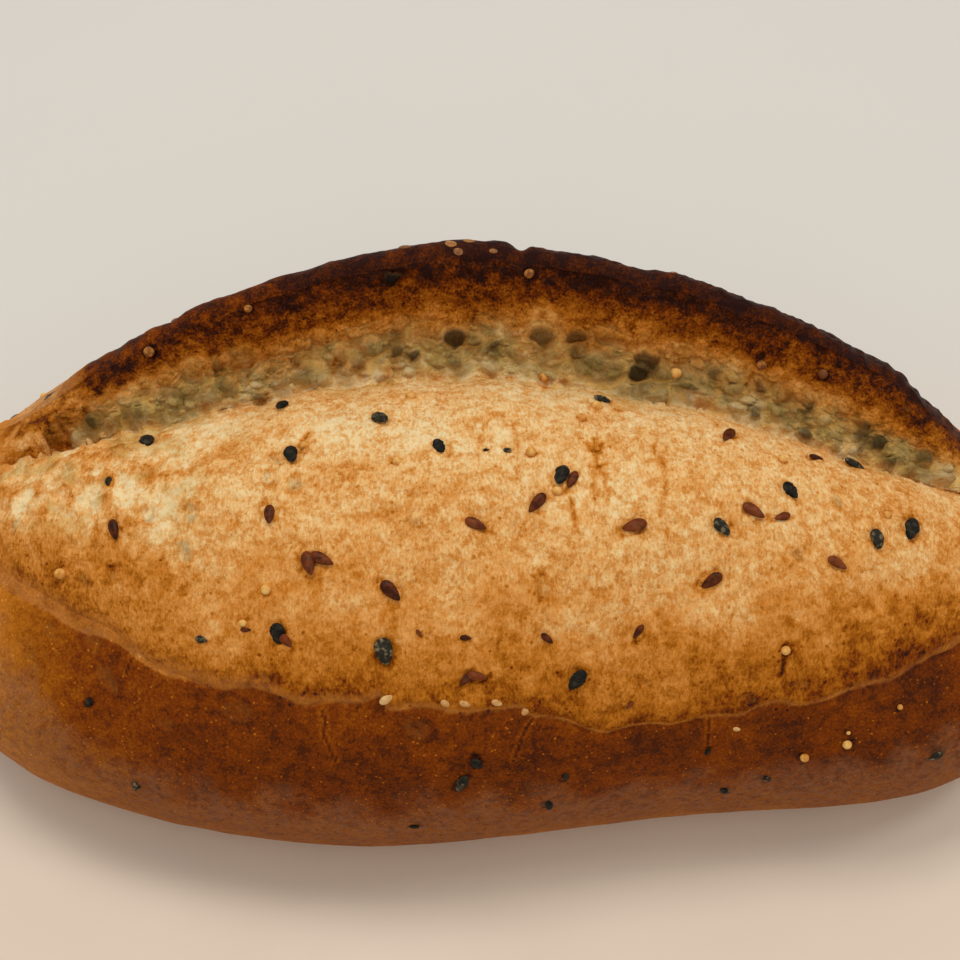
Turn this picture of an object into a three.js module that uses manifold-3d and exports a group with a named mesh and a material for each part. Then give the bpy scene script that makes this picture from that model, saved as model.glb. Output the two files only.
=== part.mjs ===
// A multigrain batard with one long cut that has opened: a plain baked dome, the bloom that has
// pushed up through the cut, and the ear, the far lip of the cut, lifted and baked dark.
// Millimetres. +X runs along the loaf, +Y from the bloom to the ear, +Z up; the base is flat at Z 0.
import * as THREE from "three";
import { mergeVertices } from "three/addons/utils/BufferGeometryUtils.js";
import Module from "manifold-3d";

// ---- Driving dimensions ----------------------------------------------------------------------

// The plain dome.
const LEFT_LENGTH = 120; // from the middle to the left tip
const RIGHT_LENGTH = 120;
const HALF_WIDTH = 60;
const WIDEST_Z = 23; // height at which the loaf is widest
const DOME_Z = 67; // height of the dome before the cut opened
const DOME_ROUNDNESS = 2.1; // exponents of superellipses: 2 is round, more is squarer
const TOP_ROUNDNESS = 2.3;
const UNDERSIDE_ROUNDNESS = 2.4;
const BASE_HALF_WIDTH = 45; // of the flat face that it rests on
const BASE_ROUNDNESS = 2.6;
const BASE_WIDTH_SHARE = 0.8; // the most that the base takes of the width at the tips
const TIP_LIFT_ROUNDNESS = 5; // how late the underside rises towards the tips
const TIP_LIFT = 1.15;
const TIP_LIFT_START = 1.5;
const NEAR_ROUNDNESS = { left: 2.5, right: 3.7 }; // plan outline on the bloom's side
const FAR_ROUNDNESS = { left: 2.6, right: 2.1 }; // plan outline on the ear's side

// Tables: a place along the loaf, then the value there. A smooth curve joins the rows.
const NEAR_SWELL = [[-140, 0], [-75, 0], [-22, 1.7], [45, -3.4], [90, 0], [140, 0]];
const FAR_SWELL = [
  [-140, 0], [-108, 0.3], [-96, 1.4], [-84, 2.2], [-68, 0.6], [-55, 0],
  [94, 0], [101, -1.2], [107, -3.5], [113, -2.5], [120, 0], [140, 0],
];

// The cut. Places in the tables are shares of its half length on either side of the middle.
const CUT_LEFT = 106;
const CUT_RIGHT = 112;
const OPENING_ROUNDNESS = 4; // how late the cut closes towards its ends
const OPENING_POWER = 0.7;
const LIP = [
  [-1, 0.26], [-0.8, 0.47], [-0.5, 0.73], [-0.15, 0.79], [0.2, 0.86], [0.55, 0.86], [0.8, 0.69], [1, 0.46],
];
const CREASE = [
  [-1, 0.22], [-0.8, 0.21], [-0.5, 0.24], [-0.15, 0.33], [0.2, 0.26], [0.55, 0.07], [0.8, -0.11], [1, -0.17],
];
const EAR = [[-1, 3], [-0.8, 12.5], [-0.5, 20], [-0.15, 24], [0.2, 24.5], [0.55, 23.5], [0.8, 20], [1, 4]];
const BLOOM_RISE = 6; // of the bloom above the dome
const BLOOM_FULLNESS = 0.7;
const CREASE_DEPTH = 3; // of the crease below the dome
const CREASE_SHARPNESS = 6;
const EAR_LEAN = THREE.MathUtils.degToRad(41); // from upright
const EAR_SCOOP = THREE.MathUtils.degToRad(20); // how hollow its inner face is
const EAR_HANDLE = 0.35; // share of its length over which its face curves
const EAR_FLARE = 2.2; // how quickly its back falls to the dome
const EAR_EDGE_RADIUS = 3.2;
const EAR_FULL_EDGE = 10; // an ear lower than this has a thinner edge

// Waves of the crust: size, then length along the loaf, then start.
const LIP_WAVES = [[0.6, 4.1, 0], [0.4, 2.2, 2]];
const CREASE_WAVES = [[0.6, 6.7, 1], [0.4, 3.1, 0.3]];
const BLOOM_RELIEF = 0.7;
const CRUST_RELIEF = 0.35;

// The ear's ragged edge: a place along the loaf, and how much longer the ear is there.
const EAR_DETAIL = [
  [-120, 0], [-90, 0.8], [-80, 1.5], [-74, 0.5], [-69, 1.1], [-65, 1.6], [-61, 0.7], [-57, 0.9], [-52, 0.2],
  [-42, -0.4], [-35, -1.4], [-30, -1], [-23, -0.7], [-18, -1], [-14, -0.6], [-5, 0.2], [1, -0.4], [5, -0.6],
  [8.5, -1.8], [11, -0.5], [19, -1], [38, -1.2], [47, -1.6], [54, -1.3], [59, -0.8], [66, -0.4], [71, 0.3],
  [85, 0.6], [89, 0], [92, -1], [97, -0.6], [100, -2], [105, -2], [120, 0],
];

// How finely the loaf is divided.
const STATIONS = 72;
const TIP_SHARE = 0.035;
const PARTS = { base: 4, under: 5, side: 9, bloom: 14, face: 8, edge: 4, back: 8 };

// Seeds: length, width and thickness, and how much of the thickness stands clear.
const FLAX = { length: 4.9, width: 2.5, height: 1.3 };
const DARK_CHIP = { length: 5.4, width: 3.2, height: 1.6 };
const MILLET = { length: 2.1, width: 2.0, height: 2.0 };
const SEED_SIDES = 6;
const SEED_RINGS = 4;
const SEED_SINK = 0.1;
const SEED_TIP = 0.35; // how much narrower the pointed end is

// The seeds that show on the bloom and below the lip: X, Y and the turn in degrees.
const FLAX_PLACES = [
  [9, -18, 120], [27, -22, -10], [49, -19, 15], [40, -31, -50], [-18, -32, 40], [-32, -26, 60],
  [-40, -18, 75], [-69, -16, 40], [-2, -21, 60], [47, 0, -20], [-4, -44, 10], [45, -24, 150],
];
const CHIP_PLACES = [
  [-19, -40, 95], [16, -44, 110], [-38, -36, 80], [-36, -5, 60], [-8, -5, 15], [-20, 3, 40],
  [57, -14, 40], [43, -22, 20], [14, -12, 10], [72, -22, 80], [80, -19, 130], [66, -14, 70],
  [64, -27, 10], [26, -38, -60], [10, -40, 70], [-66, 4, 60], [24, 8, 0], [-5, -57, 110],
  [53, -55, 40], [-29, 9, 30],
];
const MILLET_PLACES = [
  [13, 12, 0], [54, -40, 0], [-80, -21, 0], [-40, -30, 0], [19, 2, 0], [76, -16, 0], [56, -6, 0],
  [-34, -3, 0],
];

// More chips on the back and the ends, spread by a rule.
const BACK_CHIPS = 10;
const BACK_REACH = 0.85; // of the way to either tip
const GOLDEN_SHARE = 0.618;

// ---- The loaf's form -------------------------------------------------------------------------

const { clamp, lerp } = THREE.MathUtils;

// The share of the full size left at t, from 1 in the middle to 0 at t = 1.
function superellipse(t, roundness) {
  return Math.max(0, 1 - Math.min(1, Math.abs(t)) ** roundness) ** (1 / roundness);
}

// A table's value at a place, by a cubic through its rows.
function along(table, place) {
  const last = table.length - 1;
  const at = clamp(place, table[0][0], table[last][0]);
  let row = 0;
  while (row < last - 1 && at > table[row + 1][0]) row += 1;
  const slope = (i) => {
    const from = table[Math.max(0, i - 1)];
    const to = table[Math.min(last, i + 1)];
    return (to[1] - from[1]) / (to[0] - from[0]);
  };
  const [[x0, y0], [x1, y1]] = [table[row], table[row + 1]];
  const span = x1 - x0;
  const s = (at - x0) / span;
  const start = (1 + 2 * s) * (1 - s) ** 2 * y0 + s * (1 - s) ** 2 * span * slope(row);
  const end = s * s * (3 - 2 * s) * y1 + s * s * (s - 1) * span * slope(row + 1);
  return start + end;
}

function waves(table, x) {
  return table.reduce((sum, [size, length, start]) => sum + size * Math.sin(x / length + start), 0);
}

// Low lumps of the crust over its top.
function lumps(x, y) {
  const broad = Math.sin(x / 7.3 + 1.3 * Math.sin(y / 9.1)) * Math.sin(y / 6.1 + 0.7);
  const fine = Math.sin(x / 3.9 + 2.1) * Math.sin(y / 4.3 - x / 11);
  return 0.6 * broad + 0.4 * fine;
}

// All the sizes of the cross-section at x.
function sectionSizes(x) {
  const left = x < 0;
  const t = x / (left ? LEFT_LENGTH : RIGHT_LENGTH);
  const side = left ? "left" : "right";
  const near = HALF_WIDTH * superellipse(t, NEAR_ROUNDNESS[side]) + along(NEAR_SWELL, x);
  const far = HALF_WIDTH * superellipse(t, FAR_ROUNDNESS[side]) + along(FAR_SWELL, x);
  const top = WIDEST_Z + (DOME_Z - WIDEST_Z) * superellipse(t, TOP_ROUNDNESS);
  const lift = WIDEST_Z * (1 - superellipse(t, TIP_LIFT_ROUNDNESS)) * TIP_LIFT - TIP_LIFT_START;
  const flat = BASE_HALF_WIDTH * superellipse(t, BASE_ROUNDNESS);
  const cut = clamp(x / (left ? CUT_LEFT : CUT_RIGHT), -1, 1);
  const open = (1 - Math.abs(cut) ** OPENING_ROUNDNESS) ** OPENING_POWER;
  const lip = -along(LIP, cut) * near + open * waves(LIP_WAVES, x);
  const crease = along(CREASE, cut) * far + open * waves(CREASE_WAVES, x);
  const ear = open * (along(EAR, cut) + along(EAR_DETAIL, x));
  const baseNear = Math.min(flat, BASE_WIDTH_SHARE * near);
  const baseFar = Math.min(flat, BASE_WIDTH_SHARE * far);
  return { x, near, far, top, baseZ: Math.max(0, lift), baseNear, baseFar, open, lip, crease, ear };
}

// The dome's height at y.
function domeZ(s, y) {
  const share = superellipse(y / (y < 0 ? s.near : s.far), DOME_ROUNDNESS);
  return WIDEST_Z + (s.top - WIDEST_Z) * share;
}

// The height of the crust at y, from the near side to the crease.
function topZ(s, y) {
  const along = clamp((y - s.lip) / (s.crease - s.lip), 0, 1);
  const rise = BLOOM_RISE * Math.sin(Math.PI * along) ** BLOOM_FULLNESS;
  const bloom = rise - CREASE_DEPTH * along ** CREASE_SHARPNESS;
  const flatness = superellipse(y / (y < 0 ? s.near : s.far), DOME_ROUNDNESS);
  const relief = lerp(CRUST_RELIEF, BLOOM_RELIEF, Math.sin(Math.PI * along)) * flatness * s.open;
  return domeZ(s, y) + s.open * bloom + relief * lumps(s.x, y);
}

// A cubic curve's points without its first one.
function cubic(start, first, second, end, count) {
  const curve = new THREE.CubicBezierCurve(start, first, second, end);
  return curve.getPoints(count).slice(1);
}

function polar(origin, length, fromUpright) {
  const y = origin.x + length * Math.sin(fromUpright);
  const z = origin.y + length * Math.cos(fromUpright);
  return new THREE.Vector2(y, z);
}

// From the crease up the ear's inner face, over its edge and down its back to the widest line.
function earPoints(s, crease) {
  const radius = EAR_EDGE_RADIUS * Math.min(1, s.ear / EAR_FULL_EDGE);
  const edge = polar(crease, s.ear, EAR_LEAN);
  const rim = (turn) => polar(edge, radius, EAR_LEAN - Math.PI / 2 + turn);
  const faceEnd = rim(0);
  const backStart = rim(Math.PI);
  const face = cubic(
    crease,
    polar(crease, EAR_HANDLE * s.ear, EAR_LEAN + EAR_SCOOP),
    polar(faceEnd, -EAR_HANDLE * s.ear, EAR_LEAN - EAR_SCOOP / 2),
    faceEnd,
    PARTS.face,
  );
  const rimPoints = [];
  for (let i = 1; i <= PARTS.edge; i += 1) rimPoints.push(rim((Math.PI * i) / PARTS.edge));
  const lift = backStart.y - domeZ(s, backStart.x);
  const backAngle = Math.acos(clamp(backStart.x / s.far, -1, 1));
  const back = [];
  for (let i = 1; i <= PARTS.back; i += 1) {
    const left = 1 - i / PARTS.back;
    const y = s.far * Math.cos(backAngle * left);
    back.push(new THREE.Vector2(y, domeZ(s, y) + lift * left ** EAR_FLARE));
  }
  return [...face, ...rimPoints, ...back];
}

// The closed outline of the section at x, as Y and Z, from the middle of the base round the near side.
function outline(x) {
  const s = sectionSizes(x);
  const points = [];
  const underside = (side, width, base, quarter) => {
    const y = base + (width - base) * Math.sin(quarter) ** (2 / UNDERSIDE_ROUNDNESS);
    const z = WIDEST_Z - (WIDEST_Z - s.baseZ) * Math.cos(quarter) ** (2 / UNDERSIDE_ROUNDNESS);
    points.push(new THREE.Vector2(side * y, z));
  };
  for (let i = 0; i < PARTS.base / 2; i += 1) {
    points.push(new THREE.Vector2((-s.baseNear * i) / (PARTS.base / 2), s.baseZ));
  }
  for (let i = 0; i < PARTS.under; i += 1) {
    underside(-1, s.near, s.baseNear, (Math.PI / 2) * (i / PARTS.under));
  }
  const lipAngle = Math.acos(clamp(-s.lip / s.near, -1, 1));
  for (let i = 0; i < PARTS.side; i += 1) {
    const y = -s.near * Math.cos(lipAngle * (i / PARTS.side));
    points.push(new THREE.Vector2(y, i === 0 ? WIDEST_Z : topZ(s, y)));
  }
  for (let i = 0; i <= PARTS.bloom; i += 1) {
    const y = lerp(s.lip, s.crease, (1 - Math.cos((Math.PI * i) / PARTS.bloom)) / 2);
    points.push(new THREE.Vector2(y, topZ(s, y)));
  }
  const crease = points.at(-1);
  const ear = earPoints(s, crease);
  const creaseAngle = Math.acos(clamp(s.crease / s.far, -1, 1));
  ear.forEach((point, i) => {
    const y = s.far * Math.cos(creaseAngle * (1 - (i + 1) / ear.length));
    const plain = new THREE.Vector2(y, domeZ(s, y));
    points.push(plain.lerp(point, s.open));
  });
  for (let i = 1; i <= PARTS.under; i += 1) {
    underside(1, s.far, s.baseFar, (Math.PI / 2) * (1 - i / PARTS.under));
  }
  for (let i = 1; i < PARTS.base / 2; i += 1) {
    points.push(new THREE.Vector2(s.baseFar * (1 - i / (PARTS.base / 2)), s.baseZ));
  }
  return points;
}

// The loaf as one closed surface: a ring of points at each station, and a point at each tip.
function loafGeometry() {
  const positions = [];
  const faces = [];
  let ringSize = 0;
  for (let i = 0; i < STATIONS; i += 1) {
    const turn = Math.PI * lerp(TIP_SHARE, 1 - TIP_SHARE, i / (STATIONS - 1));
    const reach = -Math.cos(turn);
    const x = reach * (reach < 0 ? LEFT_LENGTH : RIGHT_LENGTH);
    const ring = outline(x);
    ringSize = ring.length;
    ring.forEach((point) => positions.push(x, point.x, point.y));
  }
  const leftTip = positions.length / 3;
  positions.push(-LEFT_LENGTH, 0, WIDEST_Z, RIGHT_LENGTH, 0, WIDEST_Z);
  const at = (station, k) => station * ringSize + (k % ringSize);
  for (let k = 0; k < ringSize; k += 1) {
    faces.push(leftTip, at(0, k), at(0, k + 1));
    faces.push(leftTip + 1, at(STATIONS - 1, k + 1), at(STATIONS - 1, k));
    for (let i = 0; i < STATIONS - 1; i += 1) {
      faces.push(at(i, k), at(i + 1, k), at(i + 1, k + 1));
      faces.push(at(i, k), at(i + 1, k + 1), at(i, k + 1));
    }
  }
  const geometry = new THREE.BufferGeometry();
  geometry.setAttribute("position", new THREE.Float32BufferAttribute(positions, 3));
  geometry.setIndex(faces);
  return geometry;
}

// ---- Seeds -----------------------------------------------------------------------------------

// One seed, lying along X with its pointed end at +X.
function seedGeometry(kind) {
  const geometry = new THREE.SphereGeometry(0.5, SEED_SIDES, SEED_RINGS);
  geometry.rotateZ(-Math.PI / 2);
  const position = geometry.getAttribute("position");
  for (let i = 0; i < position.count; i += 1) {
    const taper = 1 - SEED_TIP * Math.max(0, position.getX(i)) * 2;
    position.setY(i, position.getY(i) * taper);
  }
  geometry.scale(kind.length, kind.width, kind.height);
  return geometry;
}

// A seed half sunk in the crust at a point, turned by some degrees in the crust's plane.
function sunkSeed(kind, point, normal, degrees) {
  const upright = new THREE.Vector3(0, 0, 1);
  const geometry = seedGeometry(kind);
  geometry.rotateZ(THREE.MathUtils.degToRad(degrees));
  geometry.applyQuaternion(new THREE.Quaternion().setFromUnitVectors(upright, normal));
  const centre = point.clone().addScaledVector(normal, SEED_SINK * kind.height);
  geometry.translate(centre.x, centre.y, centre.z);
  return geometry;
}

function seedOnTop(kind, [x, y, degrees]) {
  const height = (px, py) => topZ(sectionSizes(px), py);
  const slopeX = (height(x + 1, y) - height(x - 1, y)) / 2;
  const slopeY = (height(x, y + 1) - height(x, y - 1)) / 2;
  const normal = new THREE.Vector3(-slopeX, -slopeY, 1).normalize();
  return sunkSeed(kind, new THREE.Vector3(x, y, height(x, y)), normal, degrees);
}

function chipOnBack(_, i) {
  const x = lerp(-BACK_REACH, BACK_REACH, (i + 0.5) / BACK_CHIPS) * RIGHT_LENGTH;
  const ring = outline(x);
  const first = ring.length - PARTS.base / 2 - PARTS.under - PARTS.back;
  const k = first + Math.floor(PARTS.back * ((i * GOLDEN_SHARE) % 1));
  const next = outline(x + 1)[k];
  const point = new THREE.Vector3(x, ring[k].x, ring[k].y);
  const alongLoaf = new THREE.Vector3(1, next.x - ring[k].x, next.y - ring[k].y);
  const down = new THREE.Vector3(0, ring[k + 1].x - ring[k].x, ring[k + 1].y - ring[k].y);
  return sunkSeed(DARK_CHIP, point, alongLoaf.cross(down).normalize(), i * 360 * GOLDEN_SHARE);
}

function seeds() {
  return [
    ...FLAX_PLACES.map((place) => seedOnTop(FLAX, place)),
    ...CHIP_PLACES.map((place) => seedOnTop(DARK_CHIP, place)),
    ...MILLET_PLACES.map((place) => seedOnTop(MILLET, place)),
    ...Array.from({ length: BACK_CHIPS }, chipOnBack),
  ];
}

// ---- Joining ---------------------------------------------------------------------------------

const manifold = await Module();
manifold.setup();

function solidOf(geometry) {
  const bare = geometry.clone();
  bare.deleteAttribute("normal");
  bare.deleteAttribute("uv");
  const merged = mergeVertices(bare, 1e-3);
  return new manifold.Manifold(
    new manifold.Mesh({
      numProp: 3,
      vertProperties: merged.getAttribute("position").array,
      triVerts: new Uint32Array(merged.index.array),
    }),
  );
}

function geometryOf(solid) {
  const mesh = solid.getMesh();
  const geometry = new THREE.BufferGeometry();
  geometry.setAttribute("position", new THREE.BufferAttribute(mesh.vertProperties, 3));
  geometry.setIndex(new THREE.BufferAttribute(mesh.triVerts, 1));
  return geometry;
}

// The loaf with its seeds, its origin under the middle of its bounding box.
function loafMesh() {
  const joined = seeds().reduce((solid, seed) => solid.add(solidOf(seed)), solidOf(loafGeometry()));
  const geometry = geometryOf(joined);
  geometry.computeBoundingBox();
  const middle = geometry.boundingBox.getCenter(new THREE.Vector3());
  geometry.translate(-middle.x, -middle.y, 0);
  geometry.computeVertexNormals();
  const crust = new THREE.MeshStandardMaterial({ color: 0xb87a42, roughness: 0.75, metalness: 0 });
  const mesh = new THREE.Mesh(geometry, crust);
  mesh.name = "loaf";
  return mesh;
}

const bread = new THREE.Group();
bread.add(loafMesh());

export default bread;
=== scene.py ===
# The looks of a multigrain batard: its crust, the bloom in its long cut, the crumb and burnt edge of
# the ear, and its seeds. Sizes are in millimetres in the loaf's own frame until a mesh is made.
# +X runs along the loaf, +Y from the bloom to the ear, +Z up; the base is flat at Z 0.
import itertools
import math
import random
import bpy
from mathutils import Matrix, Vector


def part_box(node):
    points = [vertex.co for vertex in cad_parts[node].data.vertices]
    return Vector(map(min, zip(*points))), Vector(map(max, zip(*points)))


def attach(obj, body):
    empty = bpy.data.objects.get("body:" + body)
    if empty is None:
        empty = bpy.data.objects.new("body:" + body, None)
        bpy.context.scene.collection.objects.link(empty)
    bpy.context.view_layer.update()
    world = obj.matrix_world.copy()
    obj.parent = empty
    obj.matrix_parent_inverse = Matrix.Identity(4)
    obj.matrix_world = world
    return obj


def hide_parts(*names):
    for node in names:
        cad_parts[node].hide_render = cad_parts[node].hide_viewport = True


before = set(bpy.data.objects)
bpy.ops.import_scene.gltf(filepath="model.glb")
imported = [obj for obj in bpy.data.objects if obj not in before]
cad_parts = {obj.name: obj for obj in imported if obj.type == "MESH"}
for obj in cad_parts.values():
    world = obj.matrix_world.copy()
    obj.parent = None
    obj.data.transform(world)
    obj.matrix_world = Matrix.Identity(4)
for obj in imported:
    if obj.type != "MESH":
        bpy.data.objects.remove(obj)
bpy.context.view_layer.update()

from types import SimpleNamespace

import bpy
import numpy as np
from mathutils import Vector

METRE = 1000.0

# ---- The loaf's form, as the solid has it ----------------------------------------------------

HALF_LENGTH = 120
HALF_WIDTH = 60
WIDEST_Z = 23
DOME_Z = 67
DOME_ROUNDNESS = 2.1
TOP_ROUNDNESS = 2.3
UNDERSIDE_ROUNDNESS = 2.4
BASE_HALF_WIDTH = 45
BASE_ROUNDNESS = 2.6
TIP_LIFT_ROUNDNESS = 5
TIP_LIFT = 1.15
TIP_LIFT_START = 1.5
BASE_WIDTH_SHARE = 0.8
NEAR_ROUNDNESS = {"left": 2.5, "right": 3.7}
FAR_ROUNDNESS = {"left": 2.6, "right": 2.1}
NEAR_SWELL = [(-140, 0), (-75, 0), (-22, 1.7), (45, -3.4), (90, 0), (140, 0)]
FAR_SWELL = [
    (-140, 0), (-108, 0.3), (-96, 1.4), (-84, 2.2), (-68, 0.6), (-55, 0), (94, 0), (101, -1.2),
    (107, -3.5), (113, -2.5), (120, 0), (140, 0),
]

# The cut. In the tables, a place is a share of its half length on either side of the middle. The lip
# and the crease are shares of the near and the far width, and the ear is a length.
CUT = {"left": 106, "right": 112}
OPENING_ROUNDNESS = 4
OPENING_POWER = 0.7
LIP = [
    (-1, 0.26), (-0.8, 0.47), (-0.5, 0.73), (-0.15, 0.79), (0.2, 0.86), (0.55, 0.86), (0.8, 0.69),
    (1, 0.46),
]
CREASE = [
    (-1, 0.22), (-0.8, 0.21), (-0.5, 0.24), (-0.15, 0.33), (0.2, 0.26), (0.55, 0.07), (0.8, -0.11),
    (1, -0.17),
]
EAR = [(-1, 3), (-0.8, 12.5), (-0.5, 20), (-0.15, 24), (0.2, 24.5), (0.55, 23.5), (0.8, 20), (1, 4)]
BLOOM_RISE = 6
BLOOM_FULLNESS = 0.7
CREASE_DEPTH = 3
CREASE_SHARPNESS = 6
EAR_LEAN = math.radians(41)
EAR_SCOOP = math.radians(20)
EAR_HANDLE = 0.35
EAR_FLARE = 2.2
EAR_EDGE_RADIUS = 3.2
EAR_FULL_EDGE = 10
LIP_WAVES = [(0.6, 4.1, 0), (0.4, 2.2, 2)]
CREASE_WAVES = [(0.6, 6.7, 1), (0.4, 3.1, 0.3)]
BLOOM_RELIEF = 0.7
CRUST_RELIEF = 0.35

# The ear's ragged edge: a place along the loaf, and how much longer the ear is there.
EAR_DETAIL = [
    (-120, 0), (-90, 0.8), (-80, 1.5), (-74, 0.5), (-69, 1.1), (-65, 1.6), (-61, 0.7), (-57, 0.9),
    (-52, 0.2), (-42, -0.4), (-35, -1.4), (-30, -1), (-23, -0.7), (-18, -1), (-14, -0.6), (-5, 0.2),
    (1, -0.4), (5, -0.6), (8.5, -1.8), (11, -0.5), (19, -1), (38, -1.2), (47, -1.6), (54, -1.3),
    (59, -0.8), (66, -0.4), (71, 0.3), (85, 0.6), (89, 0), (92, -1), (97, -0.6), (100, -2), (105, -2),
    (120, 0),
]

# ---- How finely the skin is divided ----------------------------------------------------------
# The zones go once round a cross-section, from the middle of the base over the near side, the bloom
# and the ear to the back. The ear's three share the plain dome between them where the cut ends.

EVEN_REACH = 104
EVEN_STATIONS = 430
END_STATIONS = 40
COLUMNS = {
    "base_near": 26, "under_near": 26, "side": 150, "bloom": 180, "face": 110,
    "rim": 26, "back": 84, "under_far": 26, "base_far": 26,
}
BLOOM_EASE = 0.3
EAR_SHARES = {"face": (0.0, 0.4), "rim": (0.4, 0.6), "back": (0.6, 1.0)}


# ---- Cross-sections ---------------------------------------------------------------------------


def superellipse(t, roundness):
    """The share of the full size left at t, from 1 in the middle to 0 at t = 1."""
    left = 1 - np.minimum(1, np.abs(t)) ** roundness
    return np.maximum(0, left) ** (1 / roundness)


def along(table, place):
    """A table's value at a place, by a cubic through its rows."""
    at, value = np.array(table, float).T
    rows = np.arange(len(at))
    before = np.maximum(rows - 1, 0)
    after = np.minimum(rows + 1, len(at) - 1)
    slope = (value[after] - value[before]) / (at[after] - at[before])
    x = np.clip(place, at[0], at[-1])
    row = np.clip(np.searchsorted(at, x, side="right") - 1, 0, len(at) - 2)
    span = at[row + 1] - at[row]
    s = (x - at[row]) / span
    start = (1 + 2 * s) * (1 - s) ** 2 * value[row] + s * (1 - s) ** 2 * span * slope[row]
    end = s * s * (3 - 2 * s) * value[row + 1] + s * s * (s - 1) * span * slope[row + 1]
    return start + end


def waves(table, x):
    return sum(size * np.sin(x / length + start) for size, length, start in table)


def lumps(x, y):
    broad = np.sin(x / 7.3 + 1.3 * np.sin(y / 9.1)) * np.sin(y / 6.1 + 0.7)
    fine = np.sin(x / 3.9 + 2.1) * np.sin(y / 4.3 - x / 11)
    return 0.6 * broad + 0.4 * fine


def mixed(a, b, share):
    return a + (b - a) * share


def by_side(x, values):
    return np.where(x < 0, values["left"], values["right"])


def section_sizes(x):
    """All the sizes of the cross-sections at the places x."""
    t = x / HALF_LENGTH
    near = HALF_WIDTH * superellipse(t, by_side(x, NEAR_ROUNDNESS)) + along(NEAR_SWELL, x)
    far = HALF_WIDTH * superellipse(t, by_side(x, FAR_ROUNDNESS)) + along(FAR_SWELL, x)
    top = WIDEST_Z + (DOME_Z - WIDEST_Z) * superellipse(t, TOP_ROUNDNESS)
    lift = WIDEST_Z * (1 - superellipse(t, TIP_LIFT_ROUNDNESS)) * TIP_LIFT - TIP_LIFT_START
    flat = BASE_HALF_WIDTH * superellipse(t, BASE_ROUNDNESS)
    cut = np.clip(x / by_side(x, CUT), -1, 1)
    opened = (1 - np.abs(cut) ** OPENING_ROUNDNESS) ** OPENING_POWER
    lip = -along(LIP, cut) * near + opened * waves(LIP_WAVES, x)
    crease = along(CREASE, cut) * far + opened * waves(CREASE_WAVES, x)
    ear = opened * (along(EAR, cut) + along(EAR_DETAIL, x))
    return SimpleNamespace(
        x=x, near=near, far=far, top=top, base_z=np.maximum(0, lift),
        base_near=np.minimum(flat, BASE_WIDTH_SHARE * near),
        base_far=np.minimum(flat, BASE_WIDTH_SHARE * far),
        open=opened, lip=lip, crease=crease, ear=ear,
    )


def dome_z(s, y):
    share = superellipse(y / np.where(y < 0, s.near, s.far), DOME_ROUNDNESS)
    return WIDEST_Z + (s.top - WIDEST_Z) * share


def top_z(s, y):
    """The height of the crust at y, from the near side to the crease."""
    share = np.clip((y - s.lip) / (s.crease - s.lip), 0, 1)
    arch = np.maximum(0, np.sin(math.pi * share))
    bloom = BLOOM_RISE * arch ** BLOOM_FULLNESS - CREASE_DEPTH * share ** CREASE_SHARPNESS
    flatness = superellipse(y / np.where(y < 0, s.near, s.far), DOME_ROUNDNESS)
    relief = mixed(CRUST_RELIEF, BLOOM_RELIEF, arch) * flatness * s.open
    return dome_z(s, y) + s.open * bloom + relief * lumps(s.x, y)


def polar(y, z, length, from_upright):
    return y + length * np.sin(from_upright), z + length * np.cos(from_upright)


def ear_sizes(s):
    """Where the ear starts, and the points that its face and its edge are drawn from."""
    y, z = s.crease, top_z(s, s.crease)
    radius = EAR_EDGE_RADIUS * np.minimum(1, s.ear / EAR_FULL_EDGE)
    edge = polar(y, z, s.ear, EAR_LEAN)
    face_end = polar(*edge, radius, EAR_LEAN - math.pi / 2)
    return SimpleNamespace(y=y, z=z, radius=radius, edge=edge, face_end=face_end)


def face_points(s, q):
    e = ear_sizes(s)
    corners = [
        (e.y, e.z),
        polar(e.y, e.z, EAR_HANDLE * s.ear, EAR_LEAN + EAR_SCOOP),
        polar(*e.face_end, -EAR_HANDLE * s.ear, EAR_LEAN - EAR_SCOOP / 2),
        e.face_end,
    ]
    weights = [(1 - q) ** 3, 3 * q * (1 - q) ** 2, 3 * q * q * (1 - q), q ** 3]
    return tuple(sum(w * c[axis] for w, c in zip(weights, corners)) for axis in (0, 1))


def rim_points(s, q):
    e = ear_sizes(s)
    return polar(*e.edge, e.radius, EAR_LEAN - math.pi / 2 + math.pi * q)


def back_points(s, q):
    start_y, start_z = rim_points(s, 1)
    lift = start_z - dome_z(s, start_y)
    angle = np.arccos(np.clip(start_y / s.far, -1, 1))
    y = s.far * np.cos(angle * (1 - q))
    return y, dome_z(s, y) + lift * (1 - q) ** EAR_FLARE


def ear_points(s, zone, q):
    """A part of the ear, closing down to the plain dome where the cut ends."""
    shape = {"face": face_points, "rim": rim_points, "back": back_points}[zone]
    y, z = shape(s, q)
    first, last = EAR_SHARES[zone]
    angle = np.arccos(np.clip(s.crease / s.far, -1, 1))
    plain_y = s.far * np.cos(angle * (1 - mixed(first, last, q)))
    return mixed(plain_y, y, s.open), mixed(dome_z(s, plain_y), z, s.open)


def underside_points(s, side, q):
    """From the base to the widest line."""
    width, base = (s.near, s.base_near) if side < 0 else (s.far, s.base_far)
    quarter = math.pi / 2 * q
    power = 2 / UNDERSIDE_ROUNDNESS
    y = base + (width - base) * np.sin(quarter) ** power
    return side * y, WIDEST_Z - (WIDEST_Z - s.base_z) * np.cos(quarter) ** power


def side_points(s, q):
    angle = np.arccos(np.clip(-s.lip / s.near, -1, 1))
    y = -s.near * np.cos(angle * q)
    return y, top_z(s, y)


def bloom_points(s, q):
    eased = mixed(q, (1 - np.cos(math.pi * q)) / 2, BLOOM_EASE)
    y = mixed(s.lip, s.crease, eased)
    return y, top_z(s, y)


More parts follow.
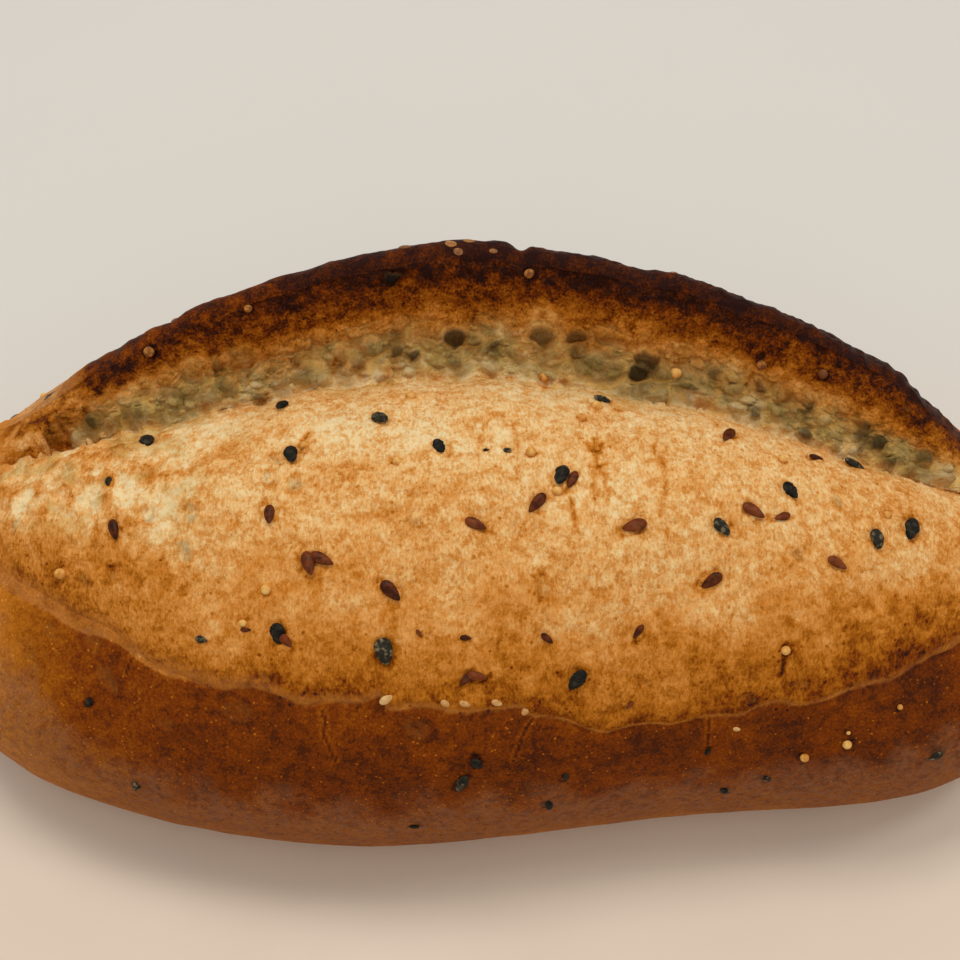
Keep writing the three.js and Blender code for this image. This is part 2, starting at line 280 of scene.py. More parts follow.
def zone_points(s, zone, q):
    if zone in EAR_SHARES:
        return ear_points(s, zone, q)
    if zone == "base_near":
        return -s.base_near * q, s.base_z + 0 * q
    if zone == "under_near":
        return underside_points(s, -1, q)
    if zone == "side":
        return side_points(s, q)
    if zone == "bloom":
        return bloom_points(s, q)
    if zone == "under_far":
        return underside_points(s, 1, 1 - q)
    return s.base_far * (1 - q), s.base_z + 0 * q


def station_places():
    """Places along the loaf, even in the middle and closer towards the tips."""
    even = np.linspace(-EVEN_REACH, EVEN_REACH, EVEN_STATIONS)
    turn = np.arange(1, END_STATIONS) / END_STATIONS * math.pi / 2
    end = EVEN_REACH + (HALF_LENGTH - EVEN_REACH) * np.sin(turn)
    return np.concatenate([-end[::-1], even, end])


def plain_skin():
    """The whole skin as a grid of points, station by column, and each zone's first column."""
    x = station_places()[:, None]
    s = section_sizes(x)
    ys, zs, shares, starts = [], [], [], {}
    count = 0
    for zone, columns in COLUMNS.items():
        q = np.arange(columns)[None, :] / columns
        y, z = zone_points(s, zone, q)
        ys.append(y + 0 * x)
        zs.append(z + 0 * x)
        shares.append(q + 0 * x)
        starts[zone] = count
        count += columns
    y, z, share = (np.concatenate(parts, axis=1) for parts in (ys, zs, shares))
    return np.stack([x + 0 * y, y, z], axis=-1), share, starts, s


def slopes(grid):
    """Unit normals of a grid that closes on itself across its columns."""
    lengthwise = np.gradient(grid, axis=0)
    across = np.roll(grid, -1, axis=1) - np.roll(grid, 1, axis=1)
    normal = np.cross(across, lengthwise)
    return normal / np.maximum(1e-9, np.linalg.norm(normal, axis=-1, keepdims=True))


# ---- Camera ----------------------------------------------------------------------------------

LOOK_AT = (-0.7, 1.7, 52)
CAMERA_ELEVATION = math.radians(56)
CAMERA_AZIMUTH = math.radians(-1.9)
CAMERA_DISTANCE = 252.6
CAMERA_VIEW = math.radians(42)
CLIP_START = 0.01


def make_camera():
    data = bpy.data.cameras.new("camera")
    data.lens = data.sensor_width / 2 / math.tan(CAMERA_VIEW / 2)
    data.clip_start = CLIP_START
    camera = bpy.data.objects.new("camera", data)
    back = Vector((
        math.sin(CAMERA_AZIMUTH) * math.cos(CAMERA_ELEVATION),
        -math.cos(CAMERA_AZIMUTH) * math.cos(CAMERA_ELEVATION),
        math.sin(CAMERA_ELEVATION),
    ))
    camera.location = (Vector(LOOK_AT) + back * CAMERA_DISTANCE) / METRE
    camera.rotation_mode = "QUATERNION"
    camera.rotation_quaternion = (-back).to_track_quat("-Z", "Y")
    bpy.context.collection.objects.link(camera)
    bpy.context.scene.camera = camera


make_camera()

# ---- Noise -----------------------------------------------------------------------------------

CUBE_EDGES = np.array(
    [edge for edge in itertools.product((-1, 0, 1), repeat=3) if sum(map(abs, edge)) == 2], float,
)


def hashed(cell, seed):
    """A whole number that looks random for each lattice cell."""
    x, y, z = cell[..., 0], cell[..., 1], cell[..., 2]
    number = (x * 374761393 + y * 668265263 + z * 1440662683 + seed * 1274126177) & 0xFFFFFFFF
    number = ((number ^ (number >> 13)) * 1103515245) & 0xFFFFFFFF
    return number ^ (number >> 16)


def smooth_noise(points, size, seed):
    """Noise from about -1 to 1, in lumps about as wide as size."""
    at = points / size
    cell = np.floor(at).astype(np.int64)
    part = at - cell
    ease = part ** 3 * (part * (part * 6 - 15) + 10)
    total = 0
    for corner in itertools.product((0, 1), repeat=3):
        corner = np.array(corner)
        edge = CUBE_EDGES[hashed(cell + corner, seed) % len(CUBE_EDGES)]
        weight = np.prod(np.where(corner, ease, 1 - ease), axis=-1)
        total = total + weight * np.sum(edge * (part - corner), axis=-1)
    return total


def rough(points, size, octaves, seed, stretch=(1, 1, 1)):
    """Noise with finer and finer lumps on it, drawn out along an axis by its stretch."""
    at = points / np.array(stretch, float)
    return sum(smooth_noise(at, size / 2 ** i, seed + i) / 2 ** i for i in range(octaves))


def ramp(value, low, high):
    """0 below low, 1 above high, smooth between."""
    t = np.clip((value - low) / (high - low), 0, 1)
    return t * t * (3 - 2 * t)


def bell(distance, width):
    return np.exp(-(distance / width) ** 2)


# ---- How far each zone is baked --------------------------------------------------------------
# Browning runs from 0, cream, over 0.3, tan, 0.5, golden brown, and 0.75, red brown, to 1, burnt.
# Each row is a place and the amount there. Unless a comment says otherwise, a place is in
# millimetres along the loaf.

# Up the bloom, in heights of its brown lower band. The next table has that height, as a share.
BLOOM_TOAST = [
    (0, 0.72), (0.12, 0.69), (0.25, 0.6), (0.42, 0.5), (0.8, 0.38), (1, 0.32), (1.3, 0.265), (2, 0.225),
    (3, 0.2),
]
BAND_TOP = [
    (-110, 0.35), (-92, 0.42), (-80, 0.4), (-70, 0.36), (-62, 0.33), (-57, 0.28), (-45, 0.3), (-30, 0.27),
    (0, 0.26), (40, 0.28), (60, 0.34), (90, 0.42), (110, 0.4),
]
# Up the near side, down the back, and up the ear's face from the crumb's top to the burnt band.
SIDE_TOAST = [(0, 0.74), (0.3, 0.79), (0.6, 0.81), (0.85, 0.81), (1, 0.77)]
BACK_TOAST = [(0, 0.97), (0.06, 0.9), (0.15, 0.8), (0.35, 0.73), (0.7, 0.68), (1, 0.6)]
FACE_TOAST = [(0, 0.46), (0.25, 0.59), (0.5, 0.75), (0.8, 0.81), (0.95, 0.88), (1.1, 0.95), (1.4, 0.98)]
# Along the ear's edge, and what is added towards the tips.
EDGE_TOAST = [
    (-120, 0.38), (-93, 0.34), (-86, 0.4), (-80, 0.82), (-74, 0.89), (-62, 0.84), (-46, 0.88), (-30, 0.97),
    (85, 0.98), (104, 0.9), (120, 0.6),
]
END_TOAST = [
    (-120, -0.32), (-104, -0.3), (-92, -0.22), (-78, -0.08), (-60, 0), (80, 0.02), (100, -0.03),
    (120, -0.18),
]
# How high flour dulls the near side, as a share.
DUST_TOP = [
    (-120, 0.85), (-92, 0.7), (-84, 0.5), (-74, 0.32), (-40, 0.33), (40, 0.33), (52, 0.4), (90, 0.42),
    (120, 0.5),
]

# How strong the fine grain of the crust is, beside the bloom's, which is 1.
CRUST_GRAIN = 0.42
RIM_GRAIN = 0.75
# How brown the base is, and the floury shoulder at the ear's left end.
BASE_TOAST = 0.5
SHOULDER_TOAST = 0.26

# Seeds: length, width, thickness.
FLAX = (4.9, 2.3, 1.3)
DARK = (5, 3, 1.5)
MILLET = (2.1, 2, 2)
SESAME = (3, 1.8, 0.8)
# The mound over a seed under a skin of dough: length, width.
VEILED = (4.6, 2.8)

# ---- What the photograph shows on the skin ---------------------------------------------------

# How far the lip lies towards the ear from the smooth line, how wide the pale strip over it is, and
# the share of its full height that it has.
LIP_DETAIL = [
    (-75, -3), (-66, -1.6), (-58, -0.7), (-50, 0.4), (-44, 0.8), (-37, 1.8), (-30, 1.3), (-25, 1),
    (-22, 1.9), (-20.4, 2.4), (-19, -0.3), (-15.8, -0.6), (-12, 1.2), (-9, 2.1), (-5, 1.6), (-1, 1.1),
    (2, 1.4), (5, 2.6), (7, 0.7), (11.5, -0.2), (19, -0.3), (25, -1.4), (31, -1.3), (36, -0.4), (40, 0.7),
    (45.5, 2.7), (49, 4), (52, 3), (57, 1.1), (63, 3), (70, 3.3), (76, 2.4), (83, 0.8), (90, 1.6),
    (100, 2), (112, 0),
]
LIP_STRIP = [
    (-100, 5), (-75, 4.2), (-50, 3), (-25, 1.8), (0, 1.2), (15, 0.6), (40, 0.6), (60, 1.2), (80, 1.8),
    (110, 2),
]
LIP_HEIGHT = [(-80, 0), (-68, 0.2), (-58, 0.4), (-42, 0.8), (-30, 1), (88, 1), (102, 0.3), (112, 0)]

# Holes of the crumb in the ear's face: place, share up the face, half width, half height, depth, turn.
HOLES = [
    (-79.5, 0.24, 1.2, 1.6, 2.2, 0), (-80, 0.25, 3, 3.2, 0.9, 0), (-70, 0.18, 3.5, 3, 1.2, 10),
    (-64.3, 0.3, 0.8, 0.8, 1.6, 0), (-61.5, 0.17, 1.3, 1.6, 1, 0), (-55, 0.2, 2.8, 3, 1.3, 0),
    (-50, 0.2, 2.2, 2.4, 1.4, 20), (-45, 0.05, 1.3, 0.8, 1.8, 0), (-52.8, 0.54, 1, 1.7, 1.8, 0),
    (-53, 0.42, 0.8, 0.6, 1.6, 0), (-49.3, 0.6, 0.8, 1, 1.6, 0), (-47, 0.5, 3.4, 2.4, 1.3, -10),
    (-41.5, 0.34, 1.5, 1.2, 1.1, 0), (-37.3, 0.31, 0.8, 0.8, 1.8, 0), (-35.8, 0.2, 2.8, 2.6, 1.5, 0),
    (-27.7, 0.24, 0.6, 0.8, 1.2, 0), (-24.5, 0.2, 1.7, 2, 1.7, 0), (-22, 0.35, 2.7, 2, 1.4, 0),
    (-16.7, 0.27, 2, 1, 2.2, -15), (-13.2, 0.21, 1.4, 1.2, 2.4, 0), (-20, 0.08, 2.4, 2, 0.8, 0),
    (-5.5, 0.38, 2.4, 2.5, 2.6, 0), (-10, 0.4, 3.6, 3.2, 0.9, 0), (-5, 0.15, 1.4, 1.5, 1.6, 0),
    (-0.5, 0.31, 1.6, 0.9, 1.8, 0), (1.5, 0.08, 2, 1.9, 0.8, 0), (3, 0.295, 1.3, 0.8, 2.2, 0),
    (2.6, 0.19, 1, 1.2, 1.6, 0), (6.5, 0.44, 2.2, 1.8, 1, 0), (7.5, 0.22, 2.2, 1.5, 1.2, 0),
    (12.5, 0.42, 2.7, 2.3, 2.1, 10), (14.5, 0.25, 3.2, 2.5, 1, 0), (19, 0.46, 2.3, 1.4, 2.2, -25),
    (19, 0.3, 1.3, 1.6, 2.1, 0), (23.5, 0.23, 5.5, 4, 1.4, 0), (25, 0.48, 2.6, 1.5, 1.1, 0),
    (33, 0.38, 2.9, 2.3, 2.4, 0), (32, 0.25, 2.7, 2, 2.8, 0), (36, 0.27, 2.5, 1.6, 1.3, 0),
    (41, 0.17, 2.8, 0.7, 1.9, -8), (44, 0.12, 3.2, 2.2, 1.1, 0), (46.5, 0.4, 1.6, 1.8, 1.9, 0),
    (49.5, 0.28, 2.2, 1.3, 1.5, 0), (55, 0.4, 1.3, 1.3, 2, 0), (54, 0.13, 1, 1.3, 2, 0),
    (59, 0.2, 2.2, 1.6, 1.2, 0), (64.8, 0.35, 0.7, 1.2, 2.2, 25), (64, 0.07, 1.6, 1.5, 2.2, 0),
    (61.5, 0.26, 1.6, 1.4, 1.4, 0), (75, 0.33, 2, 2.2, 2.2, 0), (77.6, 0.25, 1.9, 2.3, 2.5, 0),
    (74.5, 0.17, 0.7, 1.6, 1.8, 0), (80.5, 0.07, 1.6, 1.4, 2, 0), (87, 0.28, 1.4, 1.5, 2, 0),
    (84, 0.76, 0.9, 1.3, 1.2, 0), (85, 0.1, 1.1, 1.8, 1.4, 0), (88.5, 0.36, 1.6, 2.2, 1.2, 0),
    (-17, 0.91, 1.7, 1.3, 3, 0), (-86, 0.5, 1.4, 1, 1.5, 0), (70, 0.18, 1.8, 2, 1.2, 0),
    (68, 0.3, 1.6, 1.5, 1, 0), (40, 0.42, 1.8, 1.5, 1.2, 0), (29, 0.5, 1.5, 1, 0.9, 0),
]
# Smooth pale sheets of crumb at the foot of the ear: place, share up the face, half width, half height.
SHEETS = [(11.5, 0.09, 5.5, 2), (32, 0.08, 11, 2.2), (-4, 0.1, 5, 2), (-62, 0.07, 6, 2), (86, 0.1, 4, 2)]
# How far up the face the crumb ends and the burnt band starts, as shares, and the face's height.
CRUMB_TOP = [
    (-100, -0.15), (-88, -0.1), (-83, 0.38), (-66, 0.62), (-52, 0.5), (-40, 0.45), (-20, 0.47), (0, 0.5),
    (30, 0.5), (50, 0.5), (66, 0.46), (80, 0.46), (95, 0.4), (110, 0.3),
]
BURNT_FROM = [
    (-112, 1), (-90, 0.95), (-80, 0.72), (-70, 0.66), (-55, 0.8), (-40, 0.82), (-20, 0.85), (0, 0.86),
    (15, 0.87), (30, 0.85), (45, 0.85), (60, 0.92), (80, 0.92), (95, 0.92), (110, 0.98),
]
FACE_HEIGHT = 26

# Browner and paler patches of the bloom: place, share across, half length, half width, amount.
PATCHES = [
    (-47, 0.72, 2.2, 2.6, 0.75), (-49, 0.67, 7, 2.2, 0.4), (-62, 0.62, 2, 3, 0.3), (-78, 0.6, 1.6, 7, 0.4),
    (-83, 0.55, 2, 5, 0.3), (-26, 0.57, 3.5, 2, 0.4), (-61, 0.34, 3, 2.4, 0.45), (-53, 0.31, 5, 1.8, 0.5),
    (-66, 0.29, 5, 2, 0.4), (-57, 0.26, 9, 2.4, 0.3), (-80, 0.3, 12, 7, 0.3), (-20, 0.45, 6, 1.6, 0.25),
    (-30, 0.1, 18, 4, 0.2), (-88, 0.8, 4, 8, 0.35), (-92, 0.6, 2, 9, 0.3), (33, 0.6, 0.8, 9, 0.2),
    (45, 0.16, 10, 5, 0.4), (72, 0.16, 12, 8, 0.5), (15, 0.2, 12, 4, 0.15), (60, 0.3, 7, 3, 0.15),
    (-70, 0.56, 5.5, 4.5, -0.35), (-57, 0.36, 5, 4, -0.35), (-90, 0.47, 2.6, 9, -0.6),
    (-52, 0.77, 6, 3.5, -0.3), (-56, 0.62, 12, 12, -0.1), (-24, 0.72, 12, 6, -0.35),
    (-10, 0.66, 6, 5, -0.4), (37, 0.27, 6, 2.6, -0.3), (3, 0.62, 3, 6, -0.25), (80, 0.62, 7, 8, 0.05),
    (-77, 0.5, 5, 3, -0.3), (10, 0.85, 16, 4, -0.25), (-60, 0.48, 8, 3, -0.25), (-38, 0.6, 5, 4, -0.2),
]


def on(zone, rows):
    """Places that share a zone, with its name before each row."""
    return [(zone, *row) for row in rows]


# Seeds that show: place, share across the zone, turn of the pointed end, size share.
FLAX_PLACES = on("bloom", [
    (8.9, 0.48, 118, 1), (26.5, 0.445, 168, 1), (48.6, 0.535, 25, 1), (54, 0.53, 160, 0.72),
    (39.8, 0.335, 140, 0.95), (-17.9, 0.27, 50, 1), (-32.2, 0.345, 80, 1), (-29.8, 0.35, 30, 0.9),
    (-39.7, 0.46, 80, 0.85), (-2.2, 0.425, 40, 0.85), (-69.2, 0.385, 50, 0.9), (46.9, 0.8, 100, 0.9),
    (63.8, 0.425, 25, 0.8), (15.9, 0.555, 100, 0.75), (-36.8, 0.175, 35, 0.7), (64, 0.83, -20, 0.6),
    (-4.8, 0.1, 150, 0.75), (-2.6, 0.1, 30, 0.7), (-12.8, 0.185, 40, 0.35), (-4.5, 0.19, 20, 0.45),
    (26.2, 0.205, 130, 0.6), (9.8, 0.185, 35, 0.6), (24.8, 0.04, 150, 0.4), (-44, 0.175, 0, 0.4),
])
DARK_PLACES = on("bloom", [
    (-65.7, 0.83, 60, 0.9), (-19.7, 0.735, 50, 0.85), (-36.2, 0.635, 80, 0.8), (-8.6, 0.63, 60, 0.75),
    (-38.2, 0.185, 75, 0.85), (-19, 0.14, 85, 1), (14, 0.56, 100, 0.85), (42.3, 0.465, 30, 0.8),
    (56.7, 0.625, 45, 0.8), (71.8, 0.52, 80, 0.85), (79.6, 0.56, 120, 0.95), (72.5, 0.93, 0, 0.85),
    (23.5, 0.885, 10, 0.7), (-39, 0.85, 110, 0.75),
]) + on("side", [
    (-6.3, 0.57, 120, 0.75), (-3, 0.7, 62, 0.6), (52.7, 0.3, 55, 0.4),
]) + on("bloom", [
    (15.3, 0.105, 110, 0.85), (-52, 0.14, 0, 0.45),
]) + on("side", [
    (44.7, 0.15, 60, 0.5), (10.3, 0.22, 80, 0.5), (-68, 0.2, 90, 0.5), (-15.5, 0.11, 0, 0.4),
    (85, 0.35, 150, 0.6), (40, 0.71, 90, 0.35), (13.4, 0.53, 90, 0.35), (-75, 0.64, 110, 0.45),
]) + on("bloom", [
    (0.3, 0.61, 0, 0.25), (4, 0.61, 0, 0.35), (-71.5, 0.57, 70, 0.45),
])
# Chips down the back, spread by a rule.
BACK_STEP = 0.17
BACK_SPREAD = 0.618
BACK_TURN = 222.5
BACK_SHARES = [max(0.04, math.floor(i * BACK_SPREAD % 1 * 8) / 8) for i in range(10)]
BACK_PLACES = on("back", [
    (HALF_LENGTH * BACK_STEP * (i - 4.5), across, i * BACK_TURN, 1) for i, across in enumerate(BACK_SHARES)
])
# Seeds under a skin of dough.
VEILED_PLACES = on("bloom", [
    (-53.5, 0.475, 70, 0.9), (-63.2, 0.465, 40, 0.8), (-54.8, 0.36, 60, 1), (-39, 0.62, 40, 0.7),
    (-40, 0.565, 60, 0.8), (-35.3, 0.545, 100, 0.8), (-69.8, 0.215, 110, 0.8), (-75.6, 0.145, 80, 0.9),
    (65.9, 0.65, 75, 0.9), (81.4, 0.55, 120, 0.8), (56.5, 0.43, 170, 0.9), (9.5, 0.29, 85, 0.9),
    (-41.2, 0.06, 60, 0.7), (27.8, 0.08, 40, 0.5), (47, 0.08, 0, 0.6), (57, 0.08, 0, 0.6),
    (-87.7, 0.21, 60, 0.5), (-91, 0.33, 90, 0.8), (5.3, 0.43, 0, 0.6), (-13.4, 0.43, 10, 0.5),
]) + on("side", [
    (-71, 0.78, 30, 1.3), (-74, 0.92, 60, 1.2), (-82, 0.87, 30, 1), (-86, 0.7, 30, 1.3),
    (-60, 0.72, 60, 0.9), (-47, 0.89, 20, 1.4), (-14, 0.9, 5, 1.3),
])
MILLET_PLACES = on("bloom", [
    (-33.9, 0.655, 0, 0.9), (-13.8, 0.83, 0, 0.8), (-16, 0.58, 0, 0.8), (-40.2, 0.28, 0, 0.85),
    (-79.8, 0.155, 0, 1.1), (8.7, 0.61, 0, 0.95), (12.8, 0.515, 0, 0.9), (18.6, 0.765, 0, 0.95),
    (22.3, 0.835, 0, 1), (56.3, 0.755, 0, 0.75), (75.4, 0.63, 0, 0.8), (53.6, 0.17, 0, 0.9),
]) + on("face", [
    (54.8, 0.6, 0, 1), (66.5, 0.75, 0, 0.9), (39, 0.27, 0, 1.1), (13, 0.05, 0, 1), (-45.3, 0.97, 0, 0.8),
    (-65.7, 0.93, 0, 1), (10.1, 0.94, 0, 0.95),
]) + on("side", [
    (66.8, 0.67, 0, 0.85), (58.8, 0.57, 0, 0.85), (66.5, 0.77, 0, 0.4), (76.6, 0.87, 0, 0.55),
]) + on("bloom", [
    (-44.5, 0.19, 0, 0.6), (26.6, 0.845, 0, 0.6),
])
SESAME_PLACES = on("bloom", [
    (-19.2, 0.02, -25, 0.85), (-8.6, 0.045, 10, 0.7), (-5.2, 0.045, 30, 0.7), (6, 0.022, -60, 0.8),
]) + on("side", [
    (45.5, 0.985, 0, 0.5),
]) + on("rim", [
    (-5, 0.3, 20, 1), (-1.5, 0.42, 0, 0.9), (-3.8, 0.12, 10, 0.8), (3.2, 0.15, 0, 0.6),
    (-14.5, 0.45, 15, 0.9), (-60.5, 0.5, 30, 0.9), (38, 0.45, -20, 0.6),
]) + on("bloom", [
    (0.8, 0.035, 20, 0.7),
])

# Thin lines, as places and shares across a zone: cracks of the side, and rims of the bloom's blisters.
CRACKS = [
    [(-30.6, 1), (-30.2, 0.93), (-30.6, 0.86), (-29.6, 0.78), (-28.8, 0.7)],
    [(7.2, 1), (6.2, 0.95), (5.2, 0.86), (4.6, 0.8), (3.4, 0.7)],
    [(40, 1), (40.2, 0.9), (39.9, 0.78)],
    [(-65, 1), (-66.4, 0.93), (-67, 0.86)],
    [(24.5, 0.12), (25, 0.06), (24.8, 0.0)],
]
BLISTERS = [
    [(-0.6, 0.53), (-1, 0.62), (0.2, 0.7), (3, 0.735), (5.6, 0.7), (6.3, 0.62), (5.4, 0.52)],
    [(19.6, 0.5), (19.6, 0.57), (20.6, 0.6), (21.8, 0.58), (22, 0.5)],
    [(9.2, 0.26), (8.6, 0.3), (9.6, 0.325), (10.4, 0.3)],
    [(-19, 0.24), (-19.4, 0.2), (-18, 0.245), (-17, 0.22), (-17, 0.19)],
    [(32.4, 0.42), (32.6, 0.55), (33, 0.68)],
]
# Thin browned streaks, such as drips and threads of dough.
STREAKS = [
    ("bloom", [(20.6, 0.6), (20.5, 0.69)]), ("bloom", [(20.6, 0.63), (19.1, 0.67)]),
    ("bloom", [(20.6, 0.63), (22.1, 0.68)]), ("bloom", [(20.6, 0.6), (19, 0.6)]),
    ("bloom", [(20.6, 0.6), (22.4, 0.61)]), ("bloom", [(12.9, 0.995), (12.7, 0.93)]),
    # The streak from the millet grain at 53.6 down towards the lip is partly a drip and partly the grain's
    # painted shadow.
    ("bloom", [(53.6, 0.17), (53.3, 0.11)]), ("bloom", [(31.4, 0.48), (31.6, 0.7)]),
    ("bloom", [(15.4, 0.5), (15.6, 0.44)]), ("bloom", [(-34.5, 0.66), (-33.4, 0.7)]),
    ("face", [(-47, 0.24), (-46, 0.42)]), ("face", [(-30, 0.14), (-28.8, 0.28)]),
    ("face", [(-2, 0.36), (-1, 0.5)]), ("face", [(52, 0.34), (53.5, 0.5)]),
]

# ---- Places on the skin ----------------------------------------------------------------------

WOBBLE = 0.9
LINE_WOBBLE_SHARE = 0.15
OVAL_REACH = 2.2
LINE_MARGIN = 8
FAR_AWAY = 9.0

grid, share, first_column, sizes = plain_skin()
normals = slopes(grid)
tangents = np.gradient(grid, axis=0)
tangents /= np.linalg.norm(tangents, axis=-1, keepdims=True)
uprights = np.cross(normals, tangents)
widths = np.linalg.norm(np.roll(grid, -1, axis=1) - grid, axis=-1)
reach = np.cumsum(widths, axis=1) - widths
stations = grid[:, 0, 0]
# Distances are measured on these, so that ovals and lines come out a little uneven.
uneven_grid = grid + WOBBLE * np.stack([rough(grid, 3.2, 2, seed) for seed in (3, 5, 7)], axis=-1)
calm_grid = mixed(grid, uneven_grid, LINE_WOBBLE_SHARE)


def columns_of(*zones):
    """The slice of columns from the first zone's first to the last zone's last."""
    return slice(first_column[zones[0]], first_column[zones[-1]] + COLUMNS[zones[-1]])


def spot(zone, x, across):
    """The station and the column nearest to a place in a zone."""
    column = first_column[zone] + round(across * COLUMNS[zone])
    return int(np.argmin(np.abs(stations - x))), min(column, grid.shape[1] - 1)


def oval(place, half_length, half_width, degrees=0.0):
    """The skin round a place: its window, and its distance from the place, 1 on an oval's edge."""
    station, column = place
    radius = OVAL_REACH * max(half_length, half_width)
    rows = np.nonzero(np.abs(stations - stations[station]) < radius)[0]
    columns = np.nonzero(np.abs(reach[station] - reach[station, column]) < radius)[0]
    window = slice(rows[0], rows[-1] + 1), slice(columns[0], columns[-1] + 1)
    offset = uneven_grid[window] - uneven_grid[station, column]
    u, v = offset @ tangents[station, column], offset @ uprights[station, column]
    angle = math.radians(degrees)
    first = (u * math.cos(angle) + v * math.sin(angle)) / half_length
    second = (v * math.cos(angle) - u * math.sin(angle)) / half_width
    return window, np.hypot(first, second)


def line_distance(zone, line):
    """The skin round a line: its window, and its distance from the line in millimetres."""
    rows, columns = zip(*(spot(zone, x, across) for x, across in line))
    window = tuple(
        slice(max(0, min(index) - LINE_MARGIN), max(index) + LINE_MARGIN) for index in (rows, columns)
    )
    points = calm_grid[window]
    distance = np.full(points.shape[:2], FAR_AWAY)
    corners = calm_grid[rows, columns]
    for start, end in zip(corners, corners[1:]):
        run = end - start
        part = np.clip((points - start) @ run / (run @ run), 0, 1)
        distance = np.minimum(distance, np.linalg.norm(points - start - part[..., None] * run, axis=-1))
    return window, distance


# ---- What the skin's points hold -------------------------------------------------------------
# Relief is in millimetres. The marks go to the mesh: how brown a point is, how strong its fine grain
# is, and how far it is grey crumb, a pale wall between holes with painted highlight on it, painted
# shade inside a hole, a veiled seed or floury.

relief = np.zeros(grid.shape[:2])
MARKS = ("toast", "grain", "crumb", "web", "hollow", "stain", "dust")
marks = {key: np.zeros(grid.shape[:2]) for key in MARKS}
marks["grain"] += CRUST_GRAIN

# How far the cut is open at each station, and closed near the tips, and how the crust is baked there.
opened = ramp(sizes.open, 0.05, 0.6)
closed = 1 - ramp(sizes.open, 0.05, 0.55)
closed_toast = SIDE_TOAST[-1][1] + along(END_TOAST, sizes.x)

# Where things start and where they are complete, in millimetres from the middle to the right, or to
# the left where the name says so.
LEFT_CRAGS = (35, 80)
LEFT_STRANDS = (58, 82)
LEFT_TEAR = (77, 83)
LEFT_SHOULDER = (70, 84)
LEFT_RIM_DUST = (79, 86)
LEFT_BAND_FADE = (45, 80)
STRINGY_START, STRINGY_END = (-5, 15), (48, 66)
CREASE_TEAR_START, CREASE_TEAR_END = (-96, -80), (70, 96)
LUMPY_RIM = (-10, 60)

# ---- Relief and browning, zone by zone -------------------------------------------------------


def layers(points, *rows):
    """Noise on noise: a height, the size of its lumps, its octaves and its seed for each layer."""
    return sum(height * rough(points, size, octaves, seed) for height, size, octaves, seed in rows)


def hold(columns, **fields):
    """Set the relief or the marks of a zone."""
    for key, values in fields.items():
        (relief if key == "relief" else marks[key])[:, columns] = values


def raised(target, window, values):
    """Bring a part of a field up to the values, where it is lower."""
    target[window] = np.maximum(target[window], values)


def cells(u, v, size, seed):
    """Scattered cells: a bowl at each one's middle, the walls between them, and their own numbers."""
    at = np.stack([u, v], axis=-1) / size
    cell = np.floor(at).astype(np.int64)
    nearest, second, owner = np.full(u.shape, FAR_AWAY), np.full(u.shape, FAR_AWAY), np.zeros(u.shape)
    for step in itertools.product((-1, 0, 1), repeat=2):
        corner = np.concatenate([cell + np.array(step), 0 * cell[..., :1]], axis=-1)
        jitter = np.stack([hashed(corner, seed + part) % 1024 / 1024 for part in (0, 1)], axis=-1)
        distance = np.linalg.norm(corner[..., :2] + jitter - at, axis=-1)
        owner = np.where(distance < nearest, hashed(corner, seed + 2) % 1024 / 1024, owner)
        second = np.minimum(second, np.maximum(nearest, distance))
        nearest = np.minimum(nearest, distance)
    bowl = np.clip(1 - (nearest / 0.62) ** 2, 0, 1) * ramp(second - nearest, 0, 0.3)
    return bowl, bell(second - nearest, 0.1), owner


def crease_strands(points, distance):
    """The height of the torn strands along the crease, thicker towards the left tip."""
    left = ramp(-sizes.x, *LEFT_STRANDS)
    ragged = 0.5 + 2.6 * left + (0.9 + left) * rough(points, 3, 2, 115)
    return bell(distance, 1.3 + 2.4 * left) * ragged * opened


def front_measures():
    """What the near crust and the bloom have where, for their relief and their browning."""
    zone = columns_of("side", "bloom")
    points, x = grid[:, zone], sizes.x
    lip_reach, crease_reach = (reach[:, first_column[key]][:, None] for key in ("bloom", "face"))
    lip_shift = along(LIP_DETAIL, x) * ramp(sizes.open, 0, 0.5)
    above = reach[:, zone] - lip_reach - lip_shift + 0.25 * rough(points, 4, 2, 71)
    across = above / (crease_reach - lip_reach)
    bloomed = ramp(above, -0.35, 0.3) * opened
    craggy = ramp(-x, *LEFT_CRAGS) * ramp(across, 0.3, 0.6) + 0.5 * ramp(across, 0.84, 0.97)
    stringy = ramp(x, *STRINGY_START) * (1 - ramp(x, *STRINGY_END)) * ramp(across, 0.3, 0.5)
    strip_height = along(LIP_STRIP, x)
    side_share = share[:, columns_of("side")]
    return SimpleNamespace(
        zone=zone, points=points, above=above, across=across, bloomed=bloomed,
        to_crease=reach[:, zone] - crease_reach,
        up_side=np.concatenate([side_share, np.ones((len(x), COLUMNS["bloom"]))], axis=1),
        craggy=bloomed * np.clip(craggy, 0, 1),
        crags=np.abs(rough(points, 7, 3, 43)),
        stringy=bloomed * stringy,
        flakes=ramp(rough(points, 3.4, 4, 53), 0.08, 0.3) * ramp(rough(points, 16, 2, 59), -0.35, 0.25),
        strip=bloomed * (1 - ramp(above, 0.3 * strip_height, 1.4 * strip_height)),
        band=along(BAND_TOP, x) * (1 + 0.5 * rough(points, 9, 3, 79)),
    )


